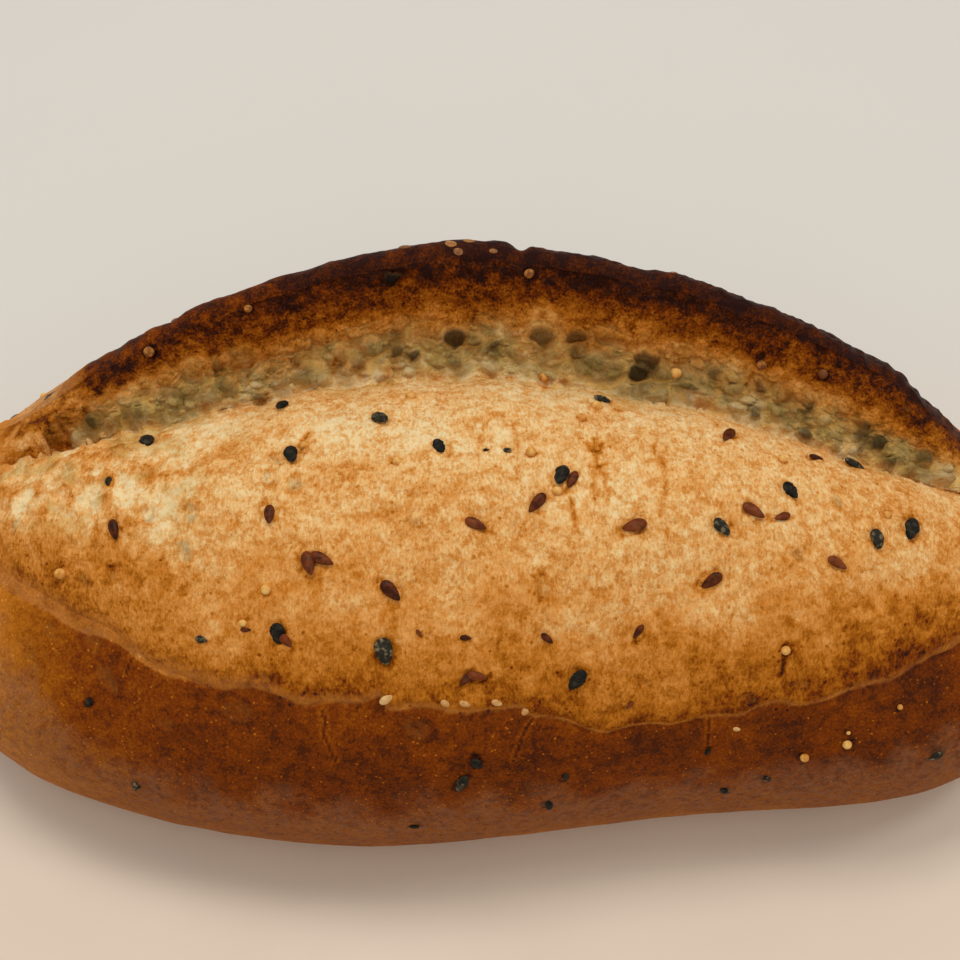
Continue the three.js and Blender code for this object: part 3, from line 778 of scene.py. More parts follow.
def front_relief(m):
    bloom = layers(m.points, (0.42, 12, 3, 41), (0.2, 1.9, 3, 37)) + 0.16 * m.flakes
    bloom += (0.03 + 0.1 * m.stringy) * rough(m.points, 1.5, 2, 31, stretch=(1, 6, 6))
    bloom += m.craggy * (1.3 * m.crags + 0.4 * rough(m.points, 2.6, 2, 47))
    side = layers(m.points, (0.26, 14, 2, 11), (0.06, 2.4, 2, 17))
    lip_height = along(LIP_HEIGHT, sizes.x) * (0.75 + 0.5 * rough(m.points, 6, 2, 73))
    lip = lip_height * (0.62 * bell(m.above - 0.1, 0.7) - 0.25 * bell(m.above - 2.2, 1.3))
    return mixed(side, bloom, m.bloomed) + lip + crease_strands(m.points, m.to_crease)


def bloom_browning(m):
    toast = along(BLOOM_TOAST, np.clip(m.across / m.band, 0, BLOOM_TOAST[-1][0])) + 0.08 * m.flakes
    toast += layers(m.points, (0.06, 16, 2, 83), (0.05, 5, 3, 89), (0.08, 2.1, 3, 93))
    toast += 0.06 * m.stringy * rough(m.points, 1.4, 2, 97, stretch=(1, 4, 4))
    # Painted shade and light on the crags: browner in the creases between them, where their relief is
    # lowest, and paler on their tops.
    crags = 0.16 * bell(m.crags, 0.08) - 0.12 * ramp(m.crags, 0.2, 0.5)
    toast += m.craggy * (crags + 0.34 * rough(m.points, 5, 3, 101))
    toast = mixed(toast, 0.48 + 0.14 * rough(m.points, 3, 3, 99), 0.75 * m.strip)
    return np.maximum(toast, 0.08 + 0.2 * np.abs(rough(m.points, 3, 2, 91)))


def side_browning(m):
    bare = along(SIDE_TOAST, m.up_side) + along(END_TOAST, sizes.x)
    return bare + layers(m.points, (0.05, 14, 2, 103), (0.03, 3, 2, 107))


def front_crumb(m):
    """Grey crumb along the crease, and in patches among the crags."""
    x = sizes.x
    tear = m.bloomed * ramp(m.across, 0.86, 1.0) * ramp(rough(m.points, 6, 3, 109), -0.35, 0.3)
    tear = tear * ramp(x, *CREASE_TEAR_START) * (1 - ramp(x, *CREASE_TEAR_END))
    return np.maximum(0.45 * tear, 0.4 * m.craggy * ramp(rough(m.points, 8, 3, 111), 0.05, 0.3))


def bake_front():
    """The near crust, the lip and the bloom."""
    m = front_measures()
    dust_top = along(DUST_TOP, sizes.x) + 0.22 * rough(m.points, 8, 3, 113)
    dusty = (1 - ramp(m.up_side, dust_top - 0.2, dust_top + 0.2)) * (1 - m.bloomed)
    low_band = 1 - ramp(m.across, 0.8 * m.band, 1.3 * m.band)
    low_band = low_band * (1 - 0.8 * ramp(-sizes.x, *LEFT_BAND_FADE))
    bloom_grain = (1 - 0.25 * low_band) * (1 - 0.35 * m.strip)
    hold(
        m.zone, relief=front_relief(m), crumb=front_crumb(m), dust=np.maximum(dusty, 0.6 * m.strip),
        toast=mixed(side_browning(m), bloom_browning(m), m.bloomed),
        grain=mixed(CRUST_GRAIN, bloom_grain, m.bloomed) + 0.4 * dusty,
    )


def crumb_sheets():
    sheets = np.zeros(grid.shape[:2])
    for place, up, half_width, half_height in SHEETS:
        window, distance = oval(spot("face", place, up), half_width, half_height)
        raised(sheets, window, 1 - ramp(distance, 0.6, 1.2))
    return sheets


def face_measures():
    """What the ear's inner face has where: its crumb, with large and small cells, and its torn end."""
    zone = columns_of("face")
    points, q, x = grid[:, zone], share[:, zone], sizes.x
    height = reach[:, zone] - reach[:, zone.start:zone.start + 1]
    crumb_top = along(CRUMB_TOP, x) + 0.14 * rough(points, 8, 3, 121)
    crumb = (1 - ramp(q, crumb_top - 0.14, crumb_top + 0.12)) * (1 - closed)
    smooth = crumb_sheets()[:, zone]
    slant = 0.9 * rough(points, 6, 3, 131)
    wide, wall, owner = cells(x + slant, 1.15 * height - slant, 4.6, 133)
    little, _, little_owner = cells(x - slant, 1.1 * height + slant, 1.9, 137)
    return SimpleNamespace(
        zone=zone, points=points, q=q, height=height, crumb_top=crumb_top, crumb=crumb, smooth=smooth,
        open_crumb=crumb * (1 - smooth), wall=wall, wide=wide * ramp(owner, 0.1, 0.9),
        pores=little * ramp(little_owner, 0.5, 1), torn=ramp(-x, *LEFT_TEAR),
    )


def face_relief(m):
    form = crease_strands(m.points, m.height) + 0.5 * rough(m.points, 11, 2, 149)
    form += m.open_crumb * (0.1 * m.wall - 0.5 * m.wide - 0.15 * m.pores)
    form += mixed(0.45, 0.09, m.crumb) * rough(m.points, 1.6, 3, 139)
    return form + 0.8 * m.torn * np.abs(rough(m.points, 5, 3, 156)) * opened


def face_browning(m):
    burnt_from = along(BURNT_FROM, sizes.x) + 0.05 * rough(m.points, 4, 3, 127)
    toasted = (m.q - m.crumb_top) / np.maximum(0.15, burnt_from - m.crumb_top)
    toasted = np.clip(toasted, 0, FACE_TOAST[-1][0])
    toast = along(FACE_TOAST, toasted) + layers(m.points, (0.13, 1.8, 3, 151), (0.1, 8, 2, 157))
    toast -= (FACE_TOAST[-1][1] - along(EDGE_TOAST, sizes.x)) * ramp(toasted, 0.7, 1)
    toast = mixed(toast, 0.46 + 0.5 * rough(m.points, 4, 3, 155) + 0.1 * m.q, 0.9 * m.torn)
    golden = mixed(0.1, 0.52, ramp(m.q / m.crumb_top, 0.25, 1.1)) - 0.1 * m.smooth
    golden += 0.34 * rough(m.points, 4, 3, 153)
    return mixed(mixed(toast, golden, 0.9 * m.crumb), closed_toast, closed)


def face_crumb(m):
    """How far the crumb is grey rather than golden: less at its foot, its top and its walls."""
    grey = (0.72 + 0.3 * m.wide + 0.8 * rough(m.points, 6, 2, 159)) * ramp(m.q, -0.04, 0.2)
    grey *= (1 - 0.85 * ramp(m.q / m.crumb_top, 0.4, 1.0)) * (1 - 0.5 * m.wall)
    return m.crumb * np.maximum(np.clip(grey, 0, 0.95), 0.7 * m.smooth)


def bake_face():
    """The ear's inner face: open crumb at its foot, toasted grains above, a burnt band at the top."""
    m = face_measures()
    hold(
        m.zone, relief=face_relief(m), toast=face_browning(m), crumb=face_crumb(m),
        grain=mixed(1, CRUST_GRAIN, closed),
        # Pale walls between the cells, partly their own colour and partly a painted highlight on their rims.
        web=m.open_crumb * m.wall * np.clip(0.7 + 0.9 * rough(m.points, 5, 2, 161), 0, 1),
        # Painted shade inside the wide cells and the pores, fading out at the foot of the face.
        hollow=m.open_crumb * (0.5 * m.wide + 0.2 * m.pores) * ramp(m.q, 0.06, 0.24),
    )


def bake_rim():
    """The ear's rounded edge."""
    rim = columns_of("rim")
    points = grid[:, rim]
    lumpy = 0.16 + 0.3 * ramp(sizes.x, *LUMPY_RIM)
    toast = along(EDGE_TOAST, sizes.x) + 0.12 * rough(points, 4, 3, 67)
    hold(
        rim, relief=0.35 * rough(points, 9, 2, 61) + lumpy * rough(points, 2.4, 2, 63),
        toast=mixed(toast, closed_toast, closed), grain=mixed(RIM_GRAIN, CRUST_GRAIN, closed),
        dust=ramp(-sizes.x, *LEFT_RIM_DUST) * (1 - closed),
    )


def bake_back():
    """From the ear's edge down to the widest line, with the floury shoulder near the left tip."""
    back = columns_of("back")
    points, q = grid[:, back], share[:, back]
    toast = along(BACK_TOAST, q) + 0.1 * rough(points, 12, 3, 163) + along(END_TOAST, sizes.x)
    toast -= (BACK_TOAST[0][1] - along(EDGE_TOAST, sizes.x)) * (1 - ramp(q, 0.05, 0.4))
    shoulder = ramp(-sizes.x, *LEFT_SHOULDER) * (1 - ramp(q, 0.2, 0.6)) * (1 - closed)
    plain = closed_toast + (BACK_TOAST[-1][1] - SIDE_TOAST[-1][1]) * q
    floury = ramp(q, 0.7, 1) + 0.25 * ramp(rough(points, 15, 3, 167), 0.1, 0.5)
    hold(
        back, relief=layers(points, (0.3, 14, 3, 11), (0.1, 3.5, 2, 17)),
        toast=mixed(mixed(toast, SHOULDER_TOAST, 0.9 * shoulder), plain, closed),
        dust=np.clip(np.maximum(floury, shoulder), 0, 1),
    )


def bake_underside():
    for zone in ("under_near", "under_far", "base_near", "base_far"):
        columns = columns_of(zone)
        points = grid[:, columns]
        near, on_base = zone == "under_near", zone.startswith("base")
        lower = 1 - share[:, columns] if near else share[:, columns]
        start = (SIDE_TOAST[0][1] if near else BACK_TOAST[-1][1]) + along(END_TOAST, sizes.x)
        toast = BASE_TOAST if on_base else mixed(start, BASE_TOAST, ramp(lower, 0, 0.7))
        hold(
            columns, relief=layers(points, (0.05, 9, 3, 171) if on_base else (0.3, 14, 2, 11)),
            toast=toast + 0.12 * rough(points, 10, 3, 173) * ramp(lower, 0, 0.3),
            dust=1.0, grain=CRUST_GRAIN + 0.4,
        )


def dust_tips():
    """The low part of the tips is as floury as the underside that it meets."""
    low_end = (1 - ramp(grid[..., 2], 22, 38)) * ramp(np.abs(sizes.x), 98, 112)
    raised(marks["dust"], ..., low_end)


def scatter_holes(taken, count, low, high, seed):
    """Holes by chance, from low to high in half width, that keep clear of those already there."""
    chance = random.Random(seed)
    for _ in range(count):
        x = chance.uniform(-90, 93)
        across = chance.triangular(0.03, 0.56, 0.2)
        size = chance.uniform(low, high)
        gaps = (
            math.hypot(x - hole[0], FACE_HEIGHT * (across - hole[1])) - size - hole[2] for hole in taken
        )
        if min(gaps) > -0.2:
            depth = size * chance.uniform(0.6, 1.2)
            taken.append((x, across, size, size * chance.uniform(0.65, 1), depth, chance.uniform(-30, 30)))


def press_holes():
    """The crumb's holes, with painted shade inside them: those the photograph shows, and others by chance.
    """
    holes = list(HOLES)
    scatter_holes(holes, count=900, low=1.1, high=2.4, seed=17)
    scatter_holes(holes, count=900, low=0.35, high=1.1, seed=18)
    for number, (x, across, half_width, half_height, depth, degrees) in enumerate(holes):
        window, distance = oval(spot("face", x, across), half_width, half_height, degrees)
        bowl = np.sqrt(np.clip(1 - distance ** 2, 0, 1))
        relief[window] += 0.2 * bell(distance - 1.12, 0.18) - depth * bowl
        # Painted shade inside the hole, darker the deeper it is, and lighter for the holes by chance.
        shade_strength = min(1, 0.25 + depth / 3.6) if number < len(HOLES) else 0.35
        raised(marks["hollow"], window, np.clip(bowl * depth / 1.7, 0, 1) * shade_strength)
        # The larger holes get a pale wall round the rim, partly its own colour and partly painted highlight.
        if half_width > 1:
            wall = bell(distance - 1.15, 0.18) * np.minimum(1, 3 * marks["crumb"][window])
            raised(marks["web"], window, 0.8 * wall)
            marks["web"][window] *= distance > 0.9


def press_patches():
    for x, across, half_length, half_width, amount in PATCHES:
        window, distance = oval(spot("bloom", x, across), half_length, half_width)
        patchy = 1 + 0.9 * rough(grid[window], 2.5, 2, 181)
        marks["toast"][window] += 0.3 * amount * patchy * bell(distance, 1)


def press_lines():
    for line in CRACKS:
        window, distance = line_distance("side", line)
        relief[window] -= 0.16 * bell(distance, 0.3)
        marks["toast"][window] += 0.12 * bell(distance, 0.25) - 0.07 * bell(distance - 0.55, 0.3)
    for line in BLISTERS:
        window, distance = line_distance("bloom", line)
        relief[window] += 0.16 * bell(distance, 0.4)
        marks["toast"][window] += 0.16 * bell(distance, 0.4)
    streaked = np.zeros(grid.shape[:2])
    for zone, line in STREAKS:
        window, distance = line_distance(zone, line)
        raised(streaked, window, bell(distance, 0.45))
    relief[:] += 0.2 * streaked
    # One of these, below the millet grain at 53.6, is partly painted shadow.
    marks["toast"] += 0.36 * streaked
    marks["crumb"] *= 1 - streaked


def bed_seeds():
    """A ragged browned collar of dough round each seed that shows."""
    for places, (length, width, _) in (
        (FLAX_PLACES, FLAX), (DARK_PLACES, DARK), (BACK_PLACES, DARK), (MILLET_PLACES, MILLET),
    ):
        for zone, x, across, degrees, size in places:
            window, distance = oval(spot(zone, x, across), size * length / 2, size * width / 2, degrees)
            ragged = np.clip(0.6 + 1.3 * rough(grid[window], 1.8, 2, 191), 0, 1.2)
            collar = 0.45 * ragged * bell(distance - 1.05, 0.25) - 0.25 * bell(distance, 0.7)
            relief[window] += size * collar
            marks["toast"][window] += 0.24 * ragged * bell(distance - 1.15, 0.35)


def veil_seeds():
    """A mound with the seed's colour showing through it over each veiled seed, and a browned ring."""
    for zone, x, across, degrees, size in VEILED_PLACES:
        window, distance = oval(spot(zone, x, across), size * VEILED[0] / 2, size * VEILED[1] / 2, degrees)
        patchy = np.clip(0.65 + 1.2 * rough(grid[window], 1.5, 2, 193), 0, 1)
        height, stain, ring = (0.35, 0.3, 0.05) if zone == "side" else (0.3, 0.4, 0.2)
        relief[window] += height * bell(distance, 0.9)
        raised(marks["stain"], window, stain * patchy * (1 - ramp(distance, 0.7, 1.15)))
        marks["toast"][window] += ring * patchy * bell(distance - 1.2, 0.3)


for step in (
    bake_front, bake_face, bake_rim, bake_back, bake_underside, dust_tips,
    press_holes, press_patches, press_lines, bed_seeds, veil_seeds,
):
    step()

skin = grid + normals * relief[..., None]
skin[..., 2] = np.maximum(skin[..., 2], 0)

# ---- Pieces ----------------------------------------------------------------------------------

own_low, own_high = grid.reshape(-1, 3).min(0), grid.reshape(-1, 3).max(0)
box_low, box_high = (np.array(corner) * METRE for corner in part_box("loaf"))
SHIFT = np.array([0, (box_low[1] + box_high[1] - own_low[1] - own_high[1]) / 2, 0])
TIPS = np.array([[-HALF_LENGTH, 0, WIDEST_Z], [HALF_LENGTH, 0, WIDEST_Z]], float)


def mesh_piece(name, points, faces, material, attributes=None, corner_uv=None):
    """An object from points in the loaf's own millimetres. It rides on the loaf and stands for it."""
    mesh = bpy.data.meshes.new(name)
    mesh.from_pydata(((points + SHIFT) / METRE).tolist(), [], faces)
    mesh.polygons.foreach_set("use_smooth", [True] * len(mesh.polygons))
    for key, values in (attributes or {}).items():
        mark = mesh.attributes.new(key, "FLOAT", "POINT")
        mark.data.foreach_set("value", np.asarray(values, np.float32).ravel())
    if corner_uv is not None:
        layer = mesh.uv_layers.new(name="OFBake")
        layer.data.foreach_set("uv", np.asarray(corner_uv, np.float32).ravel())
    mesh.materials.append(material)
    piece = bpy.data.objects.new(name, mesh)
    bpy.context.collection.objects.link(piece)
    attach(piece, "root")
    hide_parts("loaf")
    return piece


def lengths(points):
    """How far along a line each of its points lies, from 0 to 1."""
    steps = np.linalg.norm(np.diff(points, axis=0), axis=1)
    distance = np.concatenate([[0], np.cumsum(steps)])
    return distance / distance[-1]


def strip_faces(rows, across):
    """The quads of a grid, and the triangles that close it at the tips, the last two points."""
    index = np.arange(rows * across).reshape(rows, across)
    corners = [index[:-1, :-1], index[1:, :-1], index[1:, 1:], index[:-1, 1:]]
    quads = np.stack(corners, axis=-1).reshape(-1, 4)
    left_tip, right_tip = rows * across, rows * across + 1
    left = [(left_tip, a, b) for a, b in zip(index[0, :-1].tolist(), index[0, 1:].tolist())]
    right = [(right_tip, b, a) for a, b in zip(index[-1, :-1].tolist(), index[-1, 1:].tolist())]
    return quads, left, right


def strip_uv(part, quads, left, right):
    """Each face corner's place on the laid-out strip: u along the loaf, v across the strip."""
    rows, across = part.shape[:2]
    u = lengths(np.concatenate([TIPS[:1], part[:, across // 2], TIPS[1:]]))
    v = lengths(part[rows // 2])
    uv = np.stack(np.broadcast_arrays(u[1:-1, None], v[None, :]), axis=-1).reshape(-1, 2)
    middles = (v[:-1] + v[1:]) / 2
    corners = [uv[quads].reshape(-1, 2)]
    for end, faces in ((u[0], left), (u[-1], right)):
        tip = np.stack([np.full(len(faces), end), middles], axis=-1)[:, None]
        corners.append(np.concatenate([tip, uv[np.array(faces)[:, 1:]]], axis=1).reshape(-1, 2))
    return np.concatenate(corners)


def skin_piece(name, zones, material):
    """The skin of some neighbouring zones, up to the next zone's first column."""
    count = sum(COLUMNS[zone] for zone in zones) + 1
    columns = (first_column[zones[0]] + np.arange(count)) % skin.shape[1]
    part = skin[:, columns]
    quads, left, right = strip_faces(*part.shape[:2])
    faces = [tuple(face) for face in quads.tolist()] + left + right
    values = {}
    for key, field in marks.items():
        inner = field[:, columns]
        values[key] = np.concatenate([inner.ravel(), [inner[0].mean(), inner[-1].mean()]])
    points = np.concatenate([part.reshape(-1, 3), TIPS])
    return mesh_piece(name, points, faces, material, values, strip_uv(part, quads, left, right))


# ---- Seeds -----------------------------------------------------------------------------------

SEED_RINGS = 12
SEED_SIDES = 16
SEED_TURN = 6
SEED_TILT = 10
SEED_STRETCH = (0.92, 1.08)
# Where the seeds by chance lie: the zone and its shares, twice as often down the back as near the
# tips of the side, and how far along the loaf.
UNSEEN_ZONES = (("back", 0.12, 0.85), ("back", 0.12, 0.85), ("side", 0.05, 0.9))
UNSEEN_REACH = 108
UNSEEN_TIPS = (96, 112)


def seed_form(point, cracks, chance):
    """A seed 1 long, 1 wide and 1 thick along X, Y and Z, drawn in towards its pointed end."""
    turns = np.arange(SEED_SIDES) / SEED_SIDES * 2 * math.pi
    rings = []
    for ring in range(1, SEED_RINGS):
        angle = math.pi * ring / SEED_RINGS
        x = -math.cos(angle) / 2
        radius = math.sin(angle) / 2 * (1 - point * (x + 0.5) ** 1.5) / (1 - point * 0.3)
        uneven = 1 + cracks * np.array([chance.uniform(-1, 1) for _ in turns])
        ring_radius = radius * uneven
        rings.append(np.stack([0 * turns + x, ring_radius * np.cos(turns), ring_radius * np.sin(turns)], -1))
    return np.concatenate([[[-0.5, 0, 0]], np.concatenate(rings), [[0.5, 0, 0]]])


def seed_faces():
    last = 1 + (SEED_RINGS - 1) * SEED_SIDES
    faces = []
    for side in range(SEED_SIDES):
        after = (side + 1) % SEED_SIDES
        faces.append((0, 1 + after, 1 + side))
        faces.append((last, last - SEED_SIDES + side, last - SEED_SIDES + after))
        for ring in range(SEED_RINGS - 2):
            row, above = 1 + ring * SEED_SIDES, 1 + (ring + 1) * SEED_SIDES
            faces.append((row + side, row + after, above + after, above + side))
    return faces


def seeds_piece(name, places, dimensions, material, sunk, seed, point=0.0, cracks=0.0):
    """All the seeds of one kind, each laid on the skin, part sunk in it and tilted a little.

    Those on the ear's edge and on the upper part of its face have the darker, baked tones.
    """
    chance = random.Random(seed)
    shape_faces = seed_faces()
    points, faces, tones = [], [], []
    for zone, x, across, degrees, size in places:
        station, column = spot(zone, x, across)
        normal, tangent, upright = (field[station, column] for field in (normals, tangents, uprights))
        angle = math.radians(degrees + chance.uniform(-SEED_TURN, SEED_TURN))
        along_seed = math.cos(angle) * tangent + math.sin(angle) * upright
        lean = math.radians(chance.uniform(-SEED_TILT, SEED_TILT))
        along_seed = math.cos(lean) * along_seed + math.sin(lean) * normal
        beside = np.cross(normal, along_seed)
        beside /= np.linalg.norm(beside)
        axes = np.stack([along_seed, beside, np.cross(along_seed, beside)])
        stretch = np.array([chance.uniform(*SEED_STRETCH) for _ in range(3)])
        scale = np.array(dimensions) * size * stretch
        centre = skin[station, column] + normal * scale[2] * (0.5 - sunk)
        form = seed_form(point, cracks, chance) * scale
        faces += [tuple(index + len(points) * len(form) for index in face) for face in shape_faces]
        points.append(centre + form @ axes)
        on_ear = zone == "rim" or (zone == "face" and across > 0.5)
        tone = (0 if on_ear else 0.5) + 0.4 * chance.random()
        tones.append(np.full(len(form), tone))
    return mesh_piece(name, np.concatenate(points), faces, material, {"tone": np.concatenate(tones)})


def unseen_places(count, seed, size_low, size_high):
    """Places by chance on the sides that the photograph doesn't show."""
    chance = random.Random(seed)
    places = []
    for _ in range(count):
        zone, low, high = chance.choice(UNSEEN_ZONES)
        x = chance.uniform(-UNSEEN_REACH, UNSEEN_REACH)
        if zone == "side":
            x = math.copysign(chance.uniform(*UNSEEN_TIPS), x)
        across, degrees = chance.uniform(low, high), chance.uniform(0, 180)
        places.append((zone, x, across, degrees, chance.uniform(size_low, size_high)))
    return places


# ---- Materials -------------------------------------------------------------------------------


def linear(red, green, blue):
    """A colour as it shows on a screen, 0 to 255, as the shader takes it."""
    parts = [c / 255 for c in (red, green, blue)]
    return tuple(c / 12.92 if c <= 0.04045 else ((c + 0.055) / 1.055) ** 2.4 for c in parts) + (1.0,)


BROWNING = [
    (0.0, linear(246, 220, 168)), (0.14, linear(240, 190, 122)), (0.27, linear(227, 160, 86)),
    (0.4, linear(212, 136, 56)), (0.52, linear(190, 114, 30)), (0.64, linear(160, 90, 12)),
    (0.76, linear(126, 56, 3)), (0.87, linear(80, 34, 7)), (1.0, linear(44, 20, 16)),
]
CRUMB = [(0.3, linear(138, 118, 62)), (0.5, linear(182, 154, 88)), (0.7, linear(220, 190, 120))]
# Pale walls between holes: partly their own colour, partly painted highlight.
WEB_AND_HIGHLIGHT = linear(232, 188, 104)
# Painted shade inside the crumb's holes, darkest where they are deepest.
HOLE_SHADE_COLOURS = [(0.5, linear(56, 50, 28)), (1.0, linear(16, 13, 9))]
VEILED_SEED = linear(118, 80, 36)
FLOUR = linear(148, 98, 66)
HUSK_FLECK = linear(168, 150, 112)
FLAX_HUSK = [(0.1, linear(34, 16, 8)), (0.5, linear(58, 24, 8)), (1.0, linear(122, 56, 20))]
DARK_HUSK = [(0.1, linear(8, 8, 8)), (0.5, linear(13, 13, 11)), (1.0, linear(48, 44, 34))]
MILLET_HUSK = [(0.1, linear(110, 64, 34)), (0.5, linear(206, 136, 54)), (1.0, linear(238, 196, 116))]
SESAME_HUSK = [(0.1, linear(120, 78, 48)), (0.5, linear(190, 132, 72)), (1.0, linear(226, 190, 130))]
# How far patterns sway the browning, and how far the painted shade covers the deepest part of a hole.
GRAIN = 0.33
FLAKES = 0.07
SLOW_SWAY = 0.045
HOLE_SHADE = 0.92


class Look:
    """A material under construction. The sizes of its patterns are in millimetres."""

    def __init__(self, name):
        self.material = bpy.data.materials.new(name)
        self.material.use_nodes = True
        self.tree = self.material.node_tree
        self.tree.nodes.clear()
        self.place = self.node("ShaderNodeTexCoord").outputs["Object"]

    def node(self, kind, inputs=None, **settings):
        made = self.tree.nodes.new(kind)
        for key, value in settings.items():
            setattr(made, key, value)
        for key, value in (inputs or {}).items():
            if isinstance(value, bpy.types.NodeSocket):
                self.tree.links.new(value, made.inputs[key])
            else:
                made.inputs[key].default_value = value
        return made

    def mask(self, name):
        """A value that the mesh holds at each point."""
        return self.node("ShaderNodeAttribute", attribute_name=name).outputs["Fac"]

    def scaled(self, size, stretch):
        scale = tuple(METRE / size / part for part in stretch)
        return self.node("ShaderNodeVectorMath", {0: self.place, 1: scale}, operation="MULTIPLY").outputs[0]

    def noise(self, size, detail=3, roughness=0.55, stretch=(1, 1, 1), warp=0.0):
        inputs = {"Vector": self.scaled(size, stretch), "Scale": 1.0, "Detail": detail}
        inputs.update({"Roughness": roughness, "Distortion": warp})
        return self.node("ShaderNodeTexNoise", inputs).outputs["Fac"]

    def cells(self, size, stretch=(1, 1, 1)):
        inputs = {"Vector": self.scaled(size, stretch), "Scale": 1.0}
        return self.node("ShaderNodeTexVoronoi", inputs).outputs["Distance"]

    def step(self, value, low, high, to_low=0.0, to_high=1.0):
        inputs = {"Value": value, "From Min": low, "From Max": high, "To Min": to_low, "To Max": to_high}
        return self.node("ShaderNodeMapRange", inputs, interpolation_type="SMOOTHSTEP").outputs["Result"]

    def maths(self, operation, a, b=0.0):
        return self.node("ShaderNodeMath", {0: a, 1: b}, operation=operation).outputs[0]

    def sway(self, value, *changes):
        """A value moved up and down, by up to half of each amount, by patterns."""
        for amount, pattern in changes:
            value = self.maths("ADD", value, self.step(pattern, 0.25, 0.75, -amount / 2, amount / 2))
        return value

    def mix(self, share, a, b):
        return self.node("ShaderNodeMix", {0: share, 6: a, 7: b}, data_type="RGBA").outputs[2]

    def blend(self, value, colours):
        """A colour ramp through (place, colour) pairs."""
        node = self.node("ShaderNodeValToRGB", {"Fac": value})
        stops = node.color_ramp.elements
        stops[0].position, stops[0].color = colours[0]
        stops[1].position, stops[1].color = colours[-1]
        for position, colour in colours[1:-1]:
            stops.new(position).color = colour
        return node.outputs["Color"]

    def bump(self, height, depth):
        inputs = {"Height": height, "Distance": depth / METRE, "Strength": 1.0}
        return self.node("ShaderNodeBump", inputs).outputs["Normal"]

    def surface(self, colour, roughness, normal, **fixed):
        inputs = {"Base Color": colour, "Roughness": roughness, "Normal": normal}
        inputs.update({key.replace("_", " "): value for key, value in fixed.items()})
        shader = self.node("ShaderNodeBsdfPrincipled", inputs)
        self.node("ShaderNodeOutputMaterial", {"Surface": shader.outputs[0]})
        return self.material


def bread_look(name, specks, apart, strokes, depth, shine, glint):
    """The loaf's skin. How brown and how grainy it is, and where the crumb shows, is held by the mesh.

    Specks are pale blisters, or dark ones where negative, and apart is the distance between them.
    Strokes draws the grain out across the loaf, and shine is the roughness of the darkest crust.
    """
    look = Look(name)
    fine = look.noise(0.5, 5, 0.72, (1, strokes, strokes))
    flaky = look.step(look.noise(2.3, 6, 0.75), 0.5, 0.58, -FLAKES, FLAKES)
    swing = look.maths("ADD", look.maths("SUBTRACT", fine, 0.5), flaky)
    grainy = look.maths("ADD", look.maths("MULTIPLY", swing, look.mask("grain")), 0.5)
    few = look.step(look.noise(3.1, 1), 0.36, 0.55, 0.0, specks)
    dots = look.maths("MULTIPLY", look.step(look.cells(apart), 0.08, 0.2, 1.0, 0.0), few)
    baked = look.maths("SUBTRACT", look.mask("toast"), dots)
    toast = look.sway(baked, (GRAIN, grainy), (SLOW_SWAY, look.noise(5, 3)))
    colour = look.blend(toast, BROWNING)
    crumb = look.blend(look.noise(2.6, 5, 0.6, warp=0.8), CRUMB)
    colour = look.mix(look.mask("crumb"), colour, crumb)
    # Pale threads and walls in the crumb, partly their own colour and partly painted highlight.
    ridge = look.maths("ABSOLUTE", look.maths("SUBTRACT", look.noise(3.2, 3, warp=0.6), 0.5))
    threads = look.maths("MULTIPLY", look.step(ridge, 0.0, 0.045, 0.85, 0.0), look.mask("crumb"))
    web = look.maths("MAXIMUM", look.mask("web"), threads)
    colour = look.mix(web, colour, WEB_AND_HIGHLIGHT)
    # Painted shade inside the holes.
    painted_shade = look.mask("hollow")
    colour = look.mix(look.maths("MULTIPLY", painted_shade, HOLE_SHADE), colour, look.blend(painted_shade, HOLE_SHADE_COLOURS))
    colour = look.mix(look.mask("stain"), colour, VEILED_SEED)
    patchy = look.step(look.noise(1.4, 5, 0.65), 0.3, 0.7, 0.2, 0.75)
    floury = look.maths("MULTIPLY", look.mask("dust"), patchy)
    colour = look.mix(floury, colour, FLOUR)
    rough = look.sway(look.step(toast, 0.55, 1.0, 0.82, shine), (0.12, fine))
    height = look.sway(grainy, (0.5, look.noise(1.8, 3)), (0.5, web))
    return look.surface(colour, rough, look.bump(height, depth), Specular_IOR_Level=glint)


def seed_look(name, colours, size, flecks, roughness, depth, glint):
    """A seed's husk: each seed has its own tone, mottled, with some pale flecks."""
    look = Look(name)
    mottle = look.noise(size, 4, 0.6)
    colour = look.blend(look.sway(look.mask("tone"), (0.45, mottle)), colours)
    flecked = look.step(look.noise(1.1, 4, 0.6), 0.48, 0.62, 0.0, flecks)
    flecked = look.maths("MULTIPLY", flecked, look.step(look.mask("tone"), 0.6, 0.95, 0.1, 1.0))
    colour = look.mix(flecked, colour, HUSK_FLECK)
    rough = look.step(mottle, 0.3, 0.7, roughness, roughness + 0.2)
    return look.surface(colour, rough, look.bump(mottle, depth), Specular_IOR_Level=glint)


crust = bread_look("baked_crust", specks=0.22, apart=1.4, strokes=1, depth=0.3, shine=0.42, glint=0.05)
burnt = bread_look("burnt_ear", specks=0.0, apart=2, strokes=1, depth=0.4, shine=0.36, glint=0.04)
bloomed = bread_look("bloom", specks=-0.2, apart=2.4, strokes=1.9, depth=0.32, shine=0.5, glint=0.06)
torn = bread_look("torn_face", specks=-0.2, apart=1.8, strokes=1, depth=0.45, shine=0.45, glint=0.06)
skin_piece("crust_near", ["under_near", "side"], crust)
skin_piece("bloom", ["bloom"], bloomed)
skin_piece("ear_face", ["face"], torn)
skin_piece("ear_edge", ["rim"], burnt)
skin_piece("crust_back", ["back"], crust)
skin_piece("crust_under", ["under_far"], crust)
skin_piece("crust_base", ["base_far", "base_near"], crust)

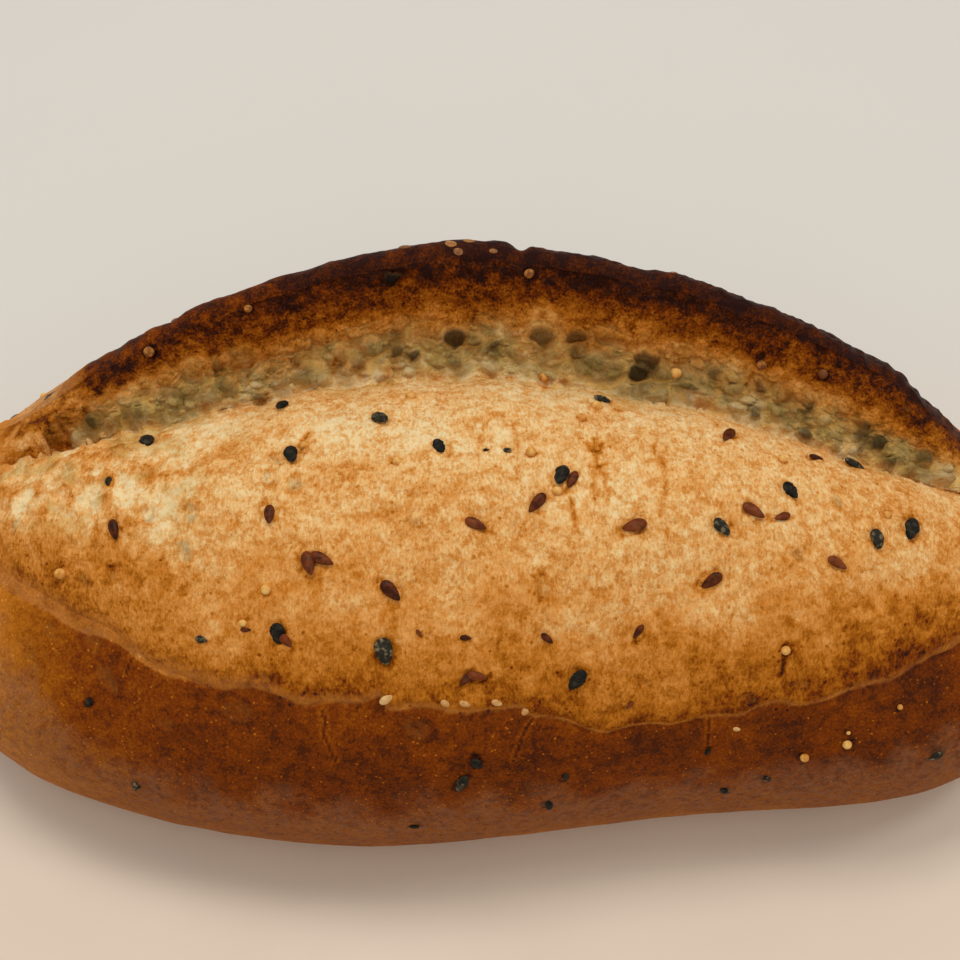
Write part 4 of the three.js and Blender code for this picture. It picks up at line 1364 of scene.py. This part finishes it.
flax = seed_look("flax", FLAX_HUSK, 1.2, 0.1, 0.3, 0.05, glint=0.1)
dark = seed_look("dark_husk", DARK_HUSK, 0.9, 0.55, 0.5, 0.15, glint=0.12)
millet = seed_look("millet", MILLET_HUSK, 1.0, 0.0, 0.5, 0.05, glint=0.15)
sesame = seed_look("sesame", SESAME_HUSK, 1.0, 0.0, 0.5, 0.05, glint=0.15)
flax_places = FLAX_PLACES + unseen_places(14, seed=5, size_low=0.8, size_high=1)
dark_places = DARK_PLACES + BACK_PLACES + unseen_places(14, seed=6, size_low=0.4, size_high=0.9)
millet_places = MILLET_PLACES + unseen_places(18, seed=7, size_low=0.7, size_high=1)
seeds_piece("flax_seeds", flax_places, FLAX, flax, sunk=0.56, seed=2, point=0.5)
seeds_piece("dark_seeds", dark_places, DARK, dark, sunk=0.58, seed=3, point=0.35, cracks=0.16)
seeds_piece("millet_grains", millet_places, MILLET, millet, sunk=0.45, seed=4)
seeds_piece("sesame_grains", SESAME_PLACES, SESAME, sesame, sunk=0.35, seed=5, point=0.3)

# ---- Floor and light -------------------------------------------------------------------------
# Lengths here are in metres, and powers in watts.

FLOOR_HALF = 2.0
FLOOR_COOL = linear(217, 214, 208)
# Painted warm light: the floor in front of the loaf is painted warmer than behind it.
FLOOR_PAINTED_WARM_LIGHT = linear(226, 208, 188)
FLOOR_TURN = 0.12
LAMP = (1.0, 0.95, 0.87)
WARM_LAMP = (1.0, 0.82, 0.62)
ROOM = (1.0, 0.985, 0.96, 1)
ROOM_STRENGTH = 0.6


def floor_look():
    look = Look("pale_floor")
    across = look.node("ShaderNodeSeparateXYZ", {"Vector": look.place}).outputs["Y"]
    # Painted warm light on the floor in front of the loaf, fading out behind it.
    warm_light_share = look.step(across, -FLOOR_TURN, FLOOR_TURN, 1.0, 0.0)
    colour = look.mix(warm_light_share, FLOOR_COOL, FLOOR_PAINTED_WARM_LIGHT)
    rough = look.step(look.noise(40, 2), 0.3, 0.7, 0.45, 0.55)
    return look.surface(colour, rough, look.bump(look.noise(3, 2), 0.01))


def make_floor():
    mesh = bpy.data.meshes.new("floor")
    corners = [(FLOOR_HALF * x, FLOOR_HALF * y, 0) for x, y in ((-1, -1), (1, -1), (1, 1), (-1, 1))]
    mesh.from_pydata(corners, [], [(0, 1, 2, 3)])
    mesh.materials.append(floor_look())
    floor = bpy.data.objects.new("floor", mesh)
    bpy.context.collection.objects.link(floor)


def area_light(name, place, size, power, colour):
    data = bpy.data.lights.new(name, "AREA")
    data.size = size
    data.energy = power
    data.color = colour
    light = bpy.data.objects.new(name, data)
    light.location = place
    light.rotation_mode = "QUATERNION"
    light.rotation_quaternion = (Vector(LOOK_AT) / METRE - Vector(place)).to_track_quat("-Z", "Y")
    bpy.context.collection.objects.link(light)


def make_lights():
    area_light("key", (-0.12, 0.28, 1.0), 0.3, 3.3, LAMP)
    area_light("second", (0.5, 0.12, 1.0), 0.2, 1.2, LAMP)
    area_light("warm_front", (0.1, -0.8, 0.6), 0.5, 0.5, WARM_LAMP)
    world = bpy.data.worlds.new("studio")
    world.use_nodes = True
    background = world.node_tree.nodes["Background"]
    background.inputs["Color"].default_value = ROOM
    background.inputs["Strength"].default_value = ROOM_STRENGTH
    bpy.context.scene.world = world


make_floor()
make_lights()
bpy.context.scene.view_settings.view_transform = "Standard"
